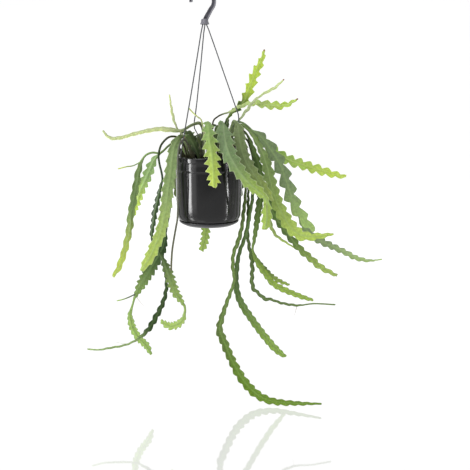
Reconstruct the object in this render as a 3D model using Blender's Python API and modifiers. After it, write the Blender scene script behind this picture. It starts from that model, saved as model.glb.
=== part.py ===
"""A ric rac cactus in a hanging nursery pot, with its plastic hanger.

The plant is about three dozen flat, zigzag stems that stand in the soil, arch over the rim and hang,
with a few young ones that point up. Everything is placed from the middle of the pot's rim.
The origin of the whole is the top of the inside of the hook, where a rail or a nail carries it.
"""
import math

import bmesh
import bpy
from mathutils import Vector

MM = 0.001
GAP = 0.3

# Driving dimensions in millimetres, heights measured from the top of the pot's rim
RIM_RADIUS = 75.0
RIM_DEPTH = 10.5
RIM_LIP_INNER_RADIUS = 65.0
RIM_LIP_THICKNESS = 2.2
WALL = 1.9
POT_BODY_RADIUS = 72.5
POT_STEP_HEIGHT = -28.0
POT_WAIST_HEIGHT = -85.0
POT_WAIST_RADIUS = 72.6
POT_HEEL_RADIUS = 70.3
POT_HEEL_HEIGHT = -130.5
POT_BASE_RADIUS = 58.0
POT_BASE_HEIGHT = -143.5
FOOT_RING_RADIUS = 48.0
SAUCER_RIM_RADIUS = 66.5
SAUCER_RIM_HEIGHT = -141.6
SAUCER_BASE_RADIUS = 53.0
SAUCER_BASE_HEIGHT = -152.0
SAUCER_WALL = 1.8
DRAIN_HOLES = 4
DRAIN_RADIUS = 4.5
DRAIN_CIRCLE = 30.0
SOIL_HEIGHT = -18.0
SOIL_FLOOR = -139.5
STEM_HOLE_RADIUS = 2.9
STEM_HOLE_DEPTH = 17.0
STEM_ROOT_DEPTH = STEM_HOLE_DEPTH - GAP
STEM_HOLE_SIDES = 8
ROOT_HEIGHTS = [-STEM_ROOT_DEPTH, -4.0, 8.0]
TURNING_STEPS = 40

HOOK_TOP = Vector((-10.0, 0.0, 345.0))
HOOK_LOOP_RADIUS = 23.6
HOOK_BAR_WIDTH = 9.2
HOOK_BAR_THICKNESS = 7.0
HOOK_GROOVE_DEPTH = 1.9
HOOK_FLANGE = 2.1
COLLAR_CENTRE = Vector((-6.4, 0.0, 279.0))
COLLAR_RADIUS = 9.8
COLLAR_HEIGHT = 11.0
SOCKET_CIRCLE = 5.0
SOCKET_RADIUS = 1.7
SOCKET_DEPTH = 7.0
STRAND_RADIUS = 1.35
STRAND_CIRCLE = 68.0
STRAND_HOLE_RADIUS = 1.7
STRAND_KNOB_RADIUS = 2.3

TOOTH_PITCHES = (21.0, 20.0)
TOOTH_VALLEY = 0.5
TOOTH_LEAN = 3.0
STALK_RADIUS = 2.3
STALK_STEP = 17.0
ROOT_STEP = 11.9
ROUTE_STEP = 3.0
FACE_PULL = 0.35
TIP_HALF_WIDTH = 1.0
TIP_HALF_THICKNESS = 0.9
TOOTHED_FROM = 1.5


def clear_scene():
    """Empty the file of its objects."""
    for thing in list(bpy.data.objects):
        bpy.data.objects.remove(thing, do_unlink=True)


clear_scene()
plant = bpy.data.collections.new("potted_ric_rac_cactus")
cutters = bpy.data.collections.new("cutters")
bpy.context.scene.collection.children.link(plant)
bpy.context.scene.collection.children.link(cutters)

rim_centre = bpy.data.objects.new("rim_centre", None)
rim_centre.location = (-HOOK_TOP.x * MM, -HOOK_TOP.y * MM, -HOOK_TOP.z * MM)
plant.objects.link(rim_centre)


def finish(name, colour, roughness, metallic=0.0):
    """A plain Principled material from a linear colour."""
    material = bpy.data.materials.new(name)
    material.use_nodes = True
    shader = material.node_tree.nodes["Principled BSDF"]
    shader.inputs["Base Color"].default_value = (*colour, 1.0)
    shader.inputs["Roughness"].default_value = roughness
    shader.inputs["Metallic"].default_value = metallic
    return material


black_plastic = finish("glossy_black_plastic", (0.024, 0.024, 0.026), 0.22)
saucer_plastic = finish("dark_grey_plastic", (0.030, 0.030, 0.033), 0.35)
potting_soil = finish("potting_soil", (0.045, 0.030, 0.020), 0.95)
hanger_plastic = finish("grey_moulded_plastic", (0.175, 0.175, 0.190), 0.40)
strand_plastic = finish("grey_strand_plastic", (0.260, 0.265, 0.255), 0.40)
old_green = finish("old_stem_green", (0.115, 0.215, 0.080), 0.45)
mid_green = finish("stem_green", (0.210, 0.365, 0.105), 0.45)
lime_green = finish("young_stem_lime", (0.455, 0.645, 0.050), 0.42)
dark_green = finish("shaded_stem_green", (0.045, 0.110, 0.024), 0.48)
pale_green = finish("pale_stem_green", (0.400, 0.520, 0.300), 0.45)


def place(thing, material, collection=plant):
    """Hang an object from the middle of the rim and give it its finish."""
    thing.parent = rim_centre
    collection.objects.link(thing)
    if material:
        thing.data.materials.clear()
        thing.data.materials.append(material)
    return thing


def turned(name, profile, material, steps=TURNING_STEPS):
    """A turned piece from its outline in millimetres, radius and height, outer side from the top down."""
    mesh = bpy.data.meshes.new(name)
    corners = [(radius * MM, 0.0, height * MM) for radius, height in profile]
    mesh.from_pydata(corners, [(i, i + 1) for i in range(len(corners) - 1)], [])
    thing = place(bpy.data.objects.new(name, mesh), material)
    screw = thing.modifiers.new("turning", "SCREW")
    screw.steps = steps
    screw.render_steps = steps
    screw.use_merge_vertices = True
    screw.merge_threshold = 0.0001
    screw.use_smooth_shade = True
    return thing


def round_cutter(name, spots, radius, top, depth, sides=12):
    """Upright round rods at the given spots, in one mesh, to cut holes with."""
    mesh = bpy.data.meshes.new(name)
    shape = bmesh.new()
    for x, y in spots:
        rod = bmesh.ops.create_cone(shape, cap_ends=True, segments=sides, radius1=radius * MM,
                                    radius2=radius * MM, depth=depth * MM)
        bmesh.ops.translate(shape, verts=rod["verts"], vec=Vector((x, y, top - depth / 2)) * MM)
    shape.to_mesh(mesh)
    shape.free()
    rods = place(bpy.data.objects.new(name, mesh), None, cutters)
    rods.hide_render = True
    rods.display_type = "WIRE"
    return rods


def cut(thing, cutter):
    """Take the cutter's shape out of a piece."""
    difference = thing.modifiers.new(cutter.name, "BOOLEAN")
    difference.operation = "DIFFERENCE"
    difference.solver = "EXACT"
    difference.object = cutter


def fuse(parent, child):
    """Join what grew or was moulded together into one body."""
    union = parent.modifiers.new("joined", "BOOLEAN")
    union.operation = "UNION"
    union.solver = "EXACT"
    union.object = child
    bpy.context.view_layer.update()
    solid = parent.evaluated_get(bpy.context.evaluated_depsgraph_get())
    mesh = bpy.data.meshes.new_from_object(solid)
    parent.modifiers.clear()
    parent.data = mesh
    bpy.data.objects.remove(child, do_unlink=True)


def on_circle(radius, degrees):
    """A spot at a radius and an angle round the pot, from +X towards +Y."""
    angle = math.radians(degrees)
    return radius * math.cos(angle), radius * math.sin(angle)


# Pot
inner_base = POT_BASE_HEIGHT + WALL
pot = turned("pot", [
    (0.0, inner_base + 1.0),
    (POT_BASE_RADIUS - 4.0, inner_base + 1.0),
    (POT_BASE_RADIUS + 3.5, inner_base + 3.6),
    (POT_HEEL_RADIUS - WALL - 0.6, POT_HEEL_HEIGHT + 1.0),
    (POT_WAIST_RADIUS - WALL, POT_WAIST_HEIGHT),
    (POT_BODY_RADIUS - WALL, POT_STEP_HEIGHT),
    (POT_BODY_RADIUS - WALL, -RIM_LIP_THICKNESS),
    (RIM_LIP_INNER_RADIUS, -RIM_LIP_THICKNESS),
    (RIM_LIP_INNER_RADIUS, -0.4),
    (RIM_LIP_INNER_RADIUS + 0.4, 0.0),
    (RIM_RADIUS - 0.8, 0.0),
    (RIM_RADIUS, -0.8),
    (RIM_RADIUS, -RIM_DEPTH + 0.5),
    (RIM_RADIUS - 0.5, -RIM_DEPTH),
    (POT_BODY_RADIUS + 0.3, -RIM_DEPTH),
    (POT_BODY_RADIUS + 0.3, POT_STEP_HEIGHT),
    (POT_BODY_RADIUS, POT_STEP_HEIGHT - 0.6),
    (POT_WAIST_RADIUS, POT_WAIST_HEIGHT),
    (POT_HEEL_RADIUS, POT_HEEL_HEIGHT),
    (POT_HEEL_RADIUS - 1.6, POT_HEEL_HEIGHT - 5.5),
    (POT_HEEL_RADIUS - 4.6, POT_BASE_HEIGHT + 2.9),
    (POT_BASE_RADIUS, POT_BASE_HEIGHT),
    (FOOT_RING_RADIUS, POT_BASE_HEIGHT),
    (FOOT_RING_RADIUS, SAUCER_BASE_HEIGHT + SAUCER_WALL + GAP),
    (FOOT_RING_RADIUS - 2.0, SAUCER_BASE_HEIGHT + SAUCER_WALL + GAP),
    (FOOT_RING_RADIUS - 2.0, inner_base - 1.0),
    (0.0, inner_base - 1.0),
], black_plastic)

drain_spots = [on_circle(DRAIN_CIRCLE, 45 + 360 * i / DRAIN_HOLES) for i in range(DRAIN_HOLES)]
cut(pot, round_cutter("drain_holes", drain_spots, DRAIN_RADIUS, inner_base + 8.0, 16.0))

# Three strands hang from the collar and pass the rim's lip at these angles
STRAND_ANGLES = {"strand_left": 210, "strand_right": 330, "strand_back": 90}
strand_spots = [on_circle(STRAND_CIRCLE, angle) for angle in STRAND_ANGLES.values()]
cut(pot, round_cutter("lip_holes", strand_spots, STRAND_HOLE_RADIUS, 2.0, 6.0))

# Saucer
turned("saucer", [
    (0.0, SAUCER_BASE_HEIGHT + SAUCER_WALL),
    (SAUCER_BASE_RADIUS - 1.5, SAUCER_BASE_HEIGHT + SAUCER_WALL),
    (SAUCER_BASE_RADIUS + 4.0, SAUCER_BASE_HEIGHT + SAUCER_WALL + 2.4),
    (SAUCER_RIM_RADIUS - SAUCER_WALL - 0.2, SAUCER_RIM_HEIGHT - 2.0),
    (SAUCER_RIM_RADIUS - SAUCER_WALL, SAUCER_RIM_HEIGHT),
    (SAUCER_RIM_RADIUS, SAUCER_RIM_HEIGHT),
    (SAUCER_RIM_RADIUS, SAUCER_RIM_HEIGHT - 1.6),
    (SAUCER_RIM_RADIUS - 0.8, SAUCER_RIM_HEIGHT - 3.4),
    (SAUCER_BASE_RADIUS + 5.0, SAUCER_BASE_HEIGHT + 2.4),
    (SAUCER_BASE_RADIUS, SAUCER_BASE_HEIGHT),
    (0.0, SAUCER_BASE_HEIGHT),
], saucer_plastic)

# Soil, a plug that fills the pot up to a finger's width below the rim
soil = turned("soil", [
    (0.0, SOIL_HEIGHT),
    (POT_BODY_RADIUS - WALL - GAP, SOIL_HEIGHT),
    (POT_BODY_RADIUS - WALL - GAP, POT_STEP_HEIGHT),
    (POT_WAIST_RADIUS - WALL - GAP, POT_WAIST_HEIGHT),
    (POT_HEEL_RADIUS - WALL - 0.6 - GAP, POT_HEEL_HEIGHT + 1.2),
    (POT_BASE_RADIUS - 4.0, SOIL_FLOOR),
    (0.0, SOIL_FLOOR),
], potting_soil)


# Hook, a question mark of H-shaped bar that ends in a collar for the strands
def hook_bar():
    """The bar follows the loop from its open tip over the top and leans down to the collar."""
    loop_centre = HOOK_TOP - Vector((0.0, 0.0, HOOK_LOOP_RADIUS - HOOK_BAR_WIDTH / 2))
    tip_angle = 184.0
    leaving_angle = -27.0
    loop_steps = 22
    route = []
    for i in range(loop_steps + 1):
        share = i / loop_steps
        angle = math.radians(tip_angle + (leaving_angle - tip_angle) * share)
        width = 0.72 + 0.28 * min(1.0, share * 2.5)
        reach = HOOK_LOOP_RADIUS + 1.5 * max(0.0, 1 - share * 5)
        x, z = reach * math.cos(angle), reach * math.sin(angle)
        route.append((loop_centre.x + x, loop_centre.z + z, width))
    leave = Vector(route[-1][:2])
    foot = Vector((COLLAR_CENTRE.x, COLLAR_CENTRE.z + COLLAR_HEIGHT - 4.0))
    lean = foot + Vector((1.8, 7.0))
    for i in range(1, 5):
        between = leave.lerp(lean, i / 4)
        route.append((between.x, between.y, 1.0 + 0.16 * i / 4))
    route.append((foot.x, foot.y, 1.1))

    outline = bpy.data.curves.new("hook_section", "CURVE")
    outline.dimensions = "2D"
    half_width = HOOK_BAR_WIDTH / 2
    half_thickness = HOOK_BAR_THICKNESS / 2
    groove_edge = half_width - HOOK_FLANGE
    groove_floor = half_thickness - HOOK_GROOVE_DEPTH
    quarter = [(half_width, half_thickness - 0.6), (half_width - 0.5, half_thickness),
               (groove_edge, half_thickness), (groove_edge - 0.4, groove_floor)]
    corners = quarter
    corners += [(-x, y) for x, y in reversed(quarter)]
    corners += [(-x, -y) for x, y in quarter]
    corners += [(x, -y) for x, y in reversed(quarter)]
    ring = outline.splines.new("POLY")
    ring.points.add(len(corners) - 1)
    ring.use_cyclic_u = True
    for point, (x, y) in zip(ring.points, corners):
        point.co = (x * MM, y * MM, 0.0, 1.0)
    section = bpy.data.objects.new("hook_section", outline)
    cutters.objects.link(section)

    path = bpy.data.curves.new("hook_path", "CURVE")
    path.dimensions = "2D"
    path.bevel_mode = "OBJECT"
    path.bevel_object = section
    path.use_fill_caps = True
    line = path.splines.new("POLY")
    line.points.add(len(route) - 1)
    for point, (x, z, width) in zip(line.points, route):
        point.co = (x * MM, z * MM, 0.0, 1.0)
        point.radius = width
    curve = bpy.data.objects.new("hook_path", path)
    curve.rotation_euler = (math.pi / 2, 0.0, 0.0)
    place(curve, None, cutters)
    return curve, section


def mesh_from_curve(curve, name, material):
    """The curve's own surface as a closed mesh in the same place."""
    bpy.context.view_layer.update()
    solid = curve.evaluated_get(bpy.context.evaluated_depsgraph_get())
    mesh = bpy.data.meshes.new_from_object(solid)
    mesh.transform(rim_centre.matrix_world.inverted() @ curve.matrix_world)
    shape = bmesh.new()
    shape.from_mesh(mesh)
    bmesh.ops.remove_doubles(shape, verts=shape.verts, dist=0.00001)
    open_ends = [edge for edge in shape.edges if edge.is_boundary]
    bmesh.ops.holes_fill(shape, edges=open_ends)
    bmesh.ops.recalc_face_normals(shape, faces=shape.faces)
    shape.to_mesh(mesh)
    shape.free()
    bpy.data.objects.remove(curve, do_unlink=True)
    return place(bpy.data.objects.new(name, mesh), material)


hook_curve, hook_section = hook_bar()
hook = mesh_from_curve(hook_curve, "hook", hanger_plastic)
bpy.data.objects.remove(hook_section, do_unlink=True)

collar = turned("collar", [
    (0.0, COLLAR_HEIGHT),
    (6.9, COLLAR_HEIGHT),
    (7.5, COLLAR_HEIGHT - 1.0),
    (7.9, 5.5),
    (COLLAR_RADIUS, 1.4),
    (COLLAR_RADIUS, 0.0),
    (0.0, 0.0),
], hanger_plastic, 24)
collar.location = COLLAR_CENTRE * MM
fuse(hook, collar)
socket_spots = {}
for strand_name, strand_angle in STRAND_ANGLES.items():
    socket_x, socket_y = on_circle(SOCKET_CIRCLE, strand_angle)
    socket_spots[strand_name] = (COLLAR_CENTRE.x + socket_x, COLLAR_CENTRE.y + socket_y)
cut(hook, round_cutter("sockets", socket_spots.values(), SOCKET_RADIUS,
                       COLLAR_CENTRE.z + SOCKET_DEPTH, SOCKET_DEPTH + 2.0))

# Strands, straight plastic rods that the plant's crown pushes a little sideways
STRAND_BENDS = {
    "strand_left": [],
    "strand_right": [(58, -20, 110), (65, -23, 92), (67, -25, 82)],
    "strand_back": [(-32, 43, 80), (-34, 46, 66), (-30, 50, 52)],
}


def strand(name):
    """One rod from its socket in the collar to a knob under the rim's lip."""
    top_x, top_y = socket_spots[name]
    low_x, low_y = on_circle(STRAND_CIRCLE, STRAND_ANGLES[name])
    socket_end = COLLAR_CENTRE.z + SOCKET_DEPTH - GAP
    knob = STRAND_KNOB_RADIUS / STRAND_RADIUS
    lip = -RIM_LIP_THICKNESS - GAP
    places = [(top_x, top_y, socket_end, 1.0), (top_x, top_y, COLLAR_CENTRE.z - 2.0, 1.0)]
    places += [(x, y, z, 1.0) for x, y, z in STRAND_BENDS[name]]
    places += [(low_x, low_y, 4.0, 1.0), (low_x, low_y, lip + 0.05, 1.0), (low_x, low_y, lip, knob),
               (low_x, low_y, lip - 3.0, knob), (low_x, low_y, lip - 5.0, 0.6 * knob)]
    path = bpy.data.curves.new(name, "CURVE")
    path.dimensions = "3D"
    path.bevel_depth = STRAND_RADIUS * MM
    path.bevel_resolution = 2
    path.use_fill_caps = True
    line = path.splines.new("POLY")
    line.points.add(len(places) - 1)
    for point, (x, y, z, thickness) in zip(line.points, places):
        point.co = (x * MM, y * MM, z * MM, 1.0)
        point.radius = thickness
    curve = bpy.data.objects.new(name + "_path", path)
    place(curve, None, cutters)
    mesh_from_curve(curve, name, strand_plastic)


for strand_name in STRAND_ANGLES:
    strand(strand_name)


def smooth_route(points):
    """A smooth line through the hand-placed points, as places with the half width there."""
    line = []
    for i in range(len(points) - 1):
        before = points[max(i - 1, 0)]
        start = points[i]
        end = points[i + 1]
        after = points[min(i + 2, len(points) - 1)]
        pieces = max(2, round((Vector(end[:3]) - Vector(start[:3])).length / ROUTE_STEP))
        for k in range(pieces):
            t = k / pieces
            values = []
            for a, b, c, d in zip(before, start, end, after):
                bend = 2 * a - 5 * b + 4 * c - d + t * (3 * (b - c) + d - a)
                values.append(b + 0.5 * t * (c - a + t * bend))
            line.append((Vector(values[:3]), max(values[3], 0.0)))
    line.append((Vector(points[-1][:3]), points[-1][3]))
    return line


def stations_along(line, stalk, rings_per_tooth, pitches):
    """Where the cross-sections go: close together on a toothed blade, further apart on a bare stalk."""
    stations = []
    wait = 0.0
    tooth = 0
    for i, (centre, half_width) in enumerate(line):
        if i:
            wait -= (centre - line[i - 1][0]).length
        if wait > 0 and i < len(line) - 1:
            continue
        toothed = half_width > TOOTHED_FROM * stalk
        stations.append((i, half_width, tooth if toothed else None))
        tooth += toothed
        pitch = pitches[0] + (pitches[1] - pitches[0]) * i / len(line)
        stalk_step = STALK_STEP if len(stations) > 2 else ROOT_STEP
        wait += pitch / rings_per_tooth if toothed else stalk_step
    return stations


# How far the edge stands out round one tooth, as shares of the tooth's height
COARSE_TOOTH = [1.0, 0.0]
SAW_TOOTH = [1.0, 0.25, 0.1, 0.6]


def stem_shape(route, face, stalk, tooth_profile, pitches, valley):
    """A closed stem: a ribbed, toothed band where the route is wide, and a four-sided stalk elsewhere.

    The teeth's pitch goes evenly from the first to the second of the pitches, and the valleys between
    them leave the given share of the half width.
    """
    line = smooth_route(route)
    hint = Vector(face).normalized()
    shape = bmesh.new()
    rings = []
    rings_per_tooth = len(tooth_profile)
    normal = hint.copy()
    last = len(line) - 1
    turned_normals = []
    for i in range(len(line)):
        along = (line[min(i + 1, last)][0] - line[max(i - 1, 0)][0]).normalized()
        normal = normal - along * normal.dot(along)
        pull = hint - along * hint.dot(along)
        if pull.dot(normal) < 0:
            pull = -pull
        normal = (normal.normalized() + FACE_PULL * pull).normalized()
        turned_normals.append((along, normal.copy()))
    for i, half_width, tooth in stations_along(line, stalk, rings_per_tooth, pitches):
        centre = line[i][0]
        along, normal = turned_normals[i]
        across = along.cross(normal)
        rib = stalk
        edges = [stalk, stalk]
        leans = [0.0, 0.0]
        if tooth is not None:
            for side in range(2):
                stand = tooth_profile[(tooth + side * rings_per_tooth // 2) % rings_per_tooth]
                edges[side] = max(half_width * (valley + (1 - valley) * stand), stalk)
                leans[side] = TOOTH_LEAN * stand
        if i == last:
            rib = TIP_HALF_THICKNESS
            edges = [TIP_HALF_WIDTH, TIP_HALF_WIDTH]
        corners = [
            centre + across * edges[0] + along * leans[0],
            centre + normal * rib,
            centre - across * edges[1] + along * leans[1],
            centre - normal * rib,
        ]
        rings.append([shape.verts.new(corner * MM) for corner in corners])
    for low, high in zip(rings, rings[1:]):
        for edge in (0, 2):
            for rib_side in (1, 3):
                shape.faces.new((low[edge], low[rib_side], high[rib_side]))
                shape.faces.new((low[edge], high[rib_side], high[edge]))
    for cap in (rings[0], rings[-1]):
        shape.faces.new((cap[0], cap[1], cap[3]))
        shape.faces.new((cap[2], cap[1], cap[3]))
    bmesh.ops.recalc_face_normals(shape, faces=shape.faces)
    return shape


stem_spots = []


def stem(name, base, route, face, material, stalk=STALK_RADIUS, tooth=COARSE_TOOTH,
         pitches=TOOTH_PITCHES, valley=TOOTH_VALLEY, side_stems=()):
    """A stem that stands upright in its hole in the soil, with any side stems that grow from it."""
    if base:
        stem_spots.append(base)
        x, y = base
        route = [(x, y, SOIL_HEIGHT + height, 0) for height in ROOT_HEIGHTS] + route
    shape = stem_shape(route, face, stalk, tooth, pitches, valley)
    mesh = bpy.data.meshes.new(name)
    shape.to_mesh(mesh)
    shape.free()
    thing = place(bpy.data.objects.new(name, mesh), material)
    for number, (side_route, side_face, side_stalk, side_pitches) in enumerate(side_stems, 1):
        side = stem(name + "_side_" + str(number), None, side_route, side_face, material, side_stalk,
                    pitches=side_pitches)
        fuse(thing, side)
    return thing


FRONT = (0.0, -1.0, 0.15)
BACK = (0.0, 1.0, 0.1)

# Stems at the front: x, y, z and half width of the blade at each place, from the soil outwards
stem("stem_front", (-2, -38), [
    (-1, -42, 40, 0), (1, -52, 74, 8), (2, -70, 68, 15), (4, -84, 52, 18), (6, -89, 38, 19),
    (10, -90, 15, 20), (12, -90, -12, 19), (14, -88, -37, 17), (14, -87, -52, 13), (14, -86, -59, 4),
], FRONT, mid_green, tooth=SAW_TOOTH, pitches=(26, 14), valley=0.42)

stem("stem_front_right_long", (18, -30), [
    (24, -32, 40, 0), (30, -38, 74, 7), (33, -52, 67, 15), (35, -68, 53, 20), (39, -80, 33, 21),
    (46, -88, 11, 20), (58, -92, -11, 18), (73, -94, -32, 16), (90, -96, -51, 15), (108, -96, -67, 13),
    (119, -94, -77, 8), (124, -92, -89, 8), (125, -88, -106, 13), (125, -84, -128, 13), (122, -80, -150, 8),
], FRONT, mid_green, tooth=SAW_TOOTH, pitches=(22, 20), valley=0.6)

stem("stem_front_right_broad", (32, -26), [
    (42, -30, 40, 0), (54, -38, 74, 4), (62, -44, 70, 9), (66, -50, 56, 15), (68, -56, 38, 16),
    (73, -62, 13, 16), (82, -67, -9, 16), (96, -73, -30, 15), (112, -78, -53, 14), (126, -80, -72, 11),
    (137, -80, -89, 3),
], FRONT, mid_green, tooth=SAW_TOOTH, pitches=(22, 18), valley=0.62)

stem("stem_young_spike", (-8, -16), [
    (-9, -15, 40, 0), (-14, -13, 76, 0), (-24, -10, 86, 0), (-34, -8, 95, 0), (-42, -6, 104, 0),
], FRONT, pale_green, stalk=1.6)

# Stems at the right
stem("stem_right_zigzag", (36, -2), [
    (44, -2, 40, 0), (58, -1, 72, 0), (72, 0, 73, 0), (84, 0, 66, 0), (95, -1, 56, 5), (106, -3, 49, 10),
    (119, -6, 37, 15), (132, -8, 20, 17), (145, -10, 1, 18), (157, -12, -19, 18), (166, -14, -41, 18),
    (174, -17, -64, 18), (182, -19, -89, 18), (192, -21, -110, 17), (206, -24, -132, 15),
    (220, -26, -149, 12), (232, -28, -164, 4),
], FRONT, mid_green, tooth=SAW_TOOTH, pitches=(32, 34), valley=0.36, side_stems=[([
    (187, -20, -98, 0), (196, -4, -124, 0), (209, 8, -152, 7), (226, 16, -175, 10), (253, 26, -195, 10),
    (283, 36, -211, 9), (314, 48, -227, 8), (342, 60, -243, 7), (375, 70, -252, 4), (408, 80, -251, 0),
], FRONT, 1.6, TOOTH_PITCHES)])

stem("stem_right_lime", (40, 8), [
    (50, 9, 36, 0), (64, 10, 66, 0), (80, 14, 64, 0), (96, 19, 52, 4), (109, 24, 43, 10), (132, 30, 20, 13),
    (150, 40, 5, 14), (169, 50, -7, 14), (189, 63, -17, 14), (212, 76, -25, 14), (240, 88, -35, 14),
    (269, 100, -44, 12), (298, 109, -53, 9), (322, 118, -58, 4),
], FRONT, lime_green, valley=0.45)

stem("stem_right_grey", (38, -16), [
    (48, -15, 40, 0), (62, -12, 66, 0), (75, -11, 66, 0), (93, -16, 50, 4), (109, -22, 25, 11),
    (120, -30, 2, 14), (129, -37, -27, 15), (135, -45, -56, 15), (144, -52, -84, 15), (152, -60, -104, 15),
    (163, -68, -125, 16), (177, -76, -145, 16), (194, -84, -159, 14), (215, -92, -163, 10),
    (239, -98, -160, 7), (265, -104, -155, 2),
], FRONT, mid_green, pitches=(20, 22), valley=0.6, side_stems=[([
    (134, -46, -55, 0), (130, -50, -79, 0), (129, -54, -103, 0), (131, -54, -123, 4), (136, -52, -147, 5),
    (147, -46, -168, 4), (168, -38, -185, 3), (193, -30, -202, 1),
], FRONT, 1.6, TOOTH_PITCHES)])

stem("stem_right_dark", (52, -9), [
    (60, -9, 30, 0), (70, -8, 50, 0), (80, -7, 50, 0), (88, -7, 41, 3), (97, -9, 19, 6), (106, -12, -6, 8),
    (113, -16, -34, 9), (121, -20, -72, 9), (135, -23, -110, 10), (148, -27, -132, 10), (163, -30, -153, 10),
    (181, -34, -177, 10), (201, -39, -201, 9), (223, -43, -220, 9), (247, -48, -240, 8), (282, -52, -258, 4),
], FRONT, old_green)

# Long stems that trail below the pot
stem("stem_trailing_longest", (60, 12), [
    (64, 11, 14, 0), (68, 10, 30, 0), (74, 8, 33, 0), (79, 7, 22, 0), (82, 6, -9, 0), (81, 4, -87, 4),
    (77, 2, -125, 5), (74, 2, -154, 5), (66, 2, -189, 6), (55, 2, -219, 5), (53, 2, -249, 5),
    (56, 4, -282, 4), (48, 6, -311, 5), (36, 7, -345, 6), (26, 8, -378, 8), (22, 10, -396, 9),
    (25, 12, -414, 11), (32, 12, -431, 11), (40, 10, -452, 11), (51, 8, -476, 11), (64, 2, -501, 12),
    (79, -6, -522, 12), (98, -14, -541, 12), (118, -24, -553, 11), (150, -34, -560, 9), (199, -48, -558, 6),
    (254, -64, -553, 2),
], FRONT, dark_green, valley=0.6)

stem("stem_trailing_second", (52, 20), [
    (58, 21, 12, 0), (66, 22, 34, 0), (76, 22, 40, 0), (86, 21, 32, 0), (92, 20, 16, 0), (98, 18, -10, 0),
    (99, 16, -55, 4), (97, 14, -95, 5), (92, 14, -127, 5), (86, 14, -161, 6), (78, 16, -192, 6),
    (68, 18, -220, 6), (63, 20, -248, 7), (60, 23, -287, 8), (64, 26, -322, 9), (76, 35, -353, 10),
    (98, 44, -389, 10), (120, 55, -423, 10), (145, 66, -458, 10), (167, 75, -483, 8), (183, 84, -496, 3),
], (0.5, -0.87, 0.0), old_green, valley=0.7)

stem("stem_trailing_forked", (54, 2), [
    (62, 3, 30, 0), (70, 4, 54, 0), (80, 4, 52, 0), (88, 3, 38, 0), (95, 0, 10, 0), (104, -2, -17, 5),
    (112, -4, -53, 8), (115, -4, -86, 9), (112, -4, -108, 9), (108, -2, -138, 8), (104, 0, -170, 6),
    (100, 2, -196, 4), (98, 2, -212, 3), (103, 2, -228, 6), (115, 0, -249, 8), (129, -5, -268, 8),
    (144, -10, -286, 8), (164, -17, -297, 8), (186, -24, -305, 7), (211, -31, -313, 6), (233, -38, -318, 3),
], FRONT, dark_green, pitches=(18, 15), valley=0.65, side_stems=[([
    (98, 2, -208, 0), (102, 9, -224, 2), (110, 14, -237, 4), (124, 22, -257, 6), (142, 32, -279, 7),
    (163, 42, -295, 6), (186, 50, -306, 3),
], FRONT, 1.6, (15, 13))])

stem("stem_trailing_thin", (44, 30), [
    (52, 32, 14, 0), (64, 34, 36, 0), (76, 34, 34, 0), (84, 32, 16, 0), (87, 30, -20, 0), (88, 26, -100, 4),
    (87, 25, -165, 4), (89, 25, -200, 5), (95, 26, -230, 6), (98, 28, -259, 6), (97, 30, -288, 6),
    (101, 34, -310, 6), (112, 38, -322, 5), (127, 44, -337, 6), (145, 50, -342, 4), (165, 56, -351, 4),
    (188, 64, -358, 4), (213, 71, -362, 3), (249, 78, -360, 0), (301, 86, -365, 0),
], FRONT, dark_green, stalk=1.8)

# Young stems above the crown
stem("stem_top_bud", (20, 18), [
    (26, 22, 40, 0), (36, 25, 70, 2), (48, 26, 90, 6), (65, 26, 104, 10), (79, 28, 119, 13),
    (86, 30, 135, 14), (93, 32, 153, 14), (101, 37, 174, 14), (111, 42, 195, 13), (119, 47, 214, 10),
    (123, 52, 231, 2),
], FRONT, lime_green, tooth=SAW_TOOTH, pitches=(28, 19), valley=0.42)

stem("stem_top_pale", (36, 20), [
    (44, 20, 34, 0), (56, 19, 62, 2), (68, 15, 78, 3), (78, 8, 92, 4), (87, 1, 103, 5), (97, -5, 117, 4),
    (110, -12, 128, 3), (126, -19, 138, 4), (140, -26, 145, 4), (151, -35, 154, 3), (161, -44, 164, 1),
], FRONT, pale_green, stalk=1.6)

stem("stem_top_arching", (4, 12), [
    (6, 10, 40, 0), (10, 9, 74, 0), (20, 9, 85, 0), (32, 9, 91, 0), (46, 9, 95, 3), (62, 9, 104, 5),
    (84, 12, 112, 6), (106, 10, 114, 9), (127, 6, 111, 11), (147, -2, 109, 11), (166, -10, 110, 8),
    (180, -20, 116, 5), (192, -30, 124, 1),
], FRONT, lime_green, stalk=1.8, pitches=(22, 21), valley=0.35)

# Stems at the left
stem("stem_left_level", (-12, 4), [
    (-12, 3, 40, 0), (-16, 1, 68, 4), (-30, -3, 70, 4), (-46, -7, 62, 4), (-59, -9, 56, 5),
    (-74, -10, 57, 8), (-92, -8, 59, 9), (-112, 0, 59, 9), (-135, 10, 55, 9), (-152, 20, 51, 9),
    (-172, 31, 46, 9), (-191, 42, 40, 8), (-217, 50, 36, 6), (-232, 58, 41, 4), (-243, 66, 53, 1),
], (0.1, -0.65, 0.75), pale_green, valley=0.75)

stem("stem_left_upright", (-36, 10), [
    (-44, 9, 22, 0), (-56, 8, 44, 0), (-66, 8, 56, 2), (-72, 9, 66, 3), (-78, 14, 84, 4),
    (-83, 24, 108, 3), (-87, 34, 133, 1),
], FRONT, pale_green, stalk=1.6)

stem("stem_left_broad", (-32, -20), [
    (-40, -18, 24, 0), (-50, -17, 40, 3), (-60, -24, 42, 7), (-67, -36, 34, 11), (-72, -46, 20, 13),
    (-75, -54, 0, 14), (-78, -58, -25, 15), (-82, -60, -51, 15), (-86, -60, -74, 15), (-89, -60, -98, 15),
    (-93, -61, -119, 14), (-98, -62, -144, 14), (-105, -62, -167, 14), (-114, -62, -187, 14),
    (-123, -63, -207, 14), (-133, -64, -224, 12), (-146, -64, -244, 4),
], FRONT, mid_green, tooth=SAW_TOOTH, pitches=(20, 22), valley=0.68)

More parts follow.
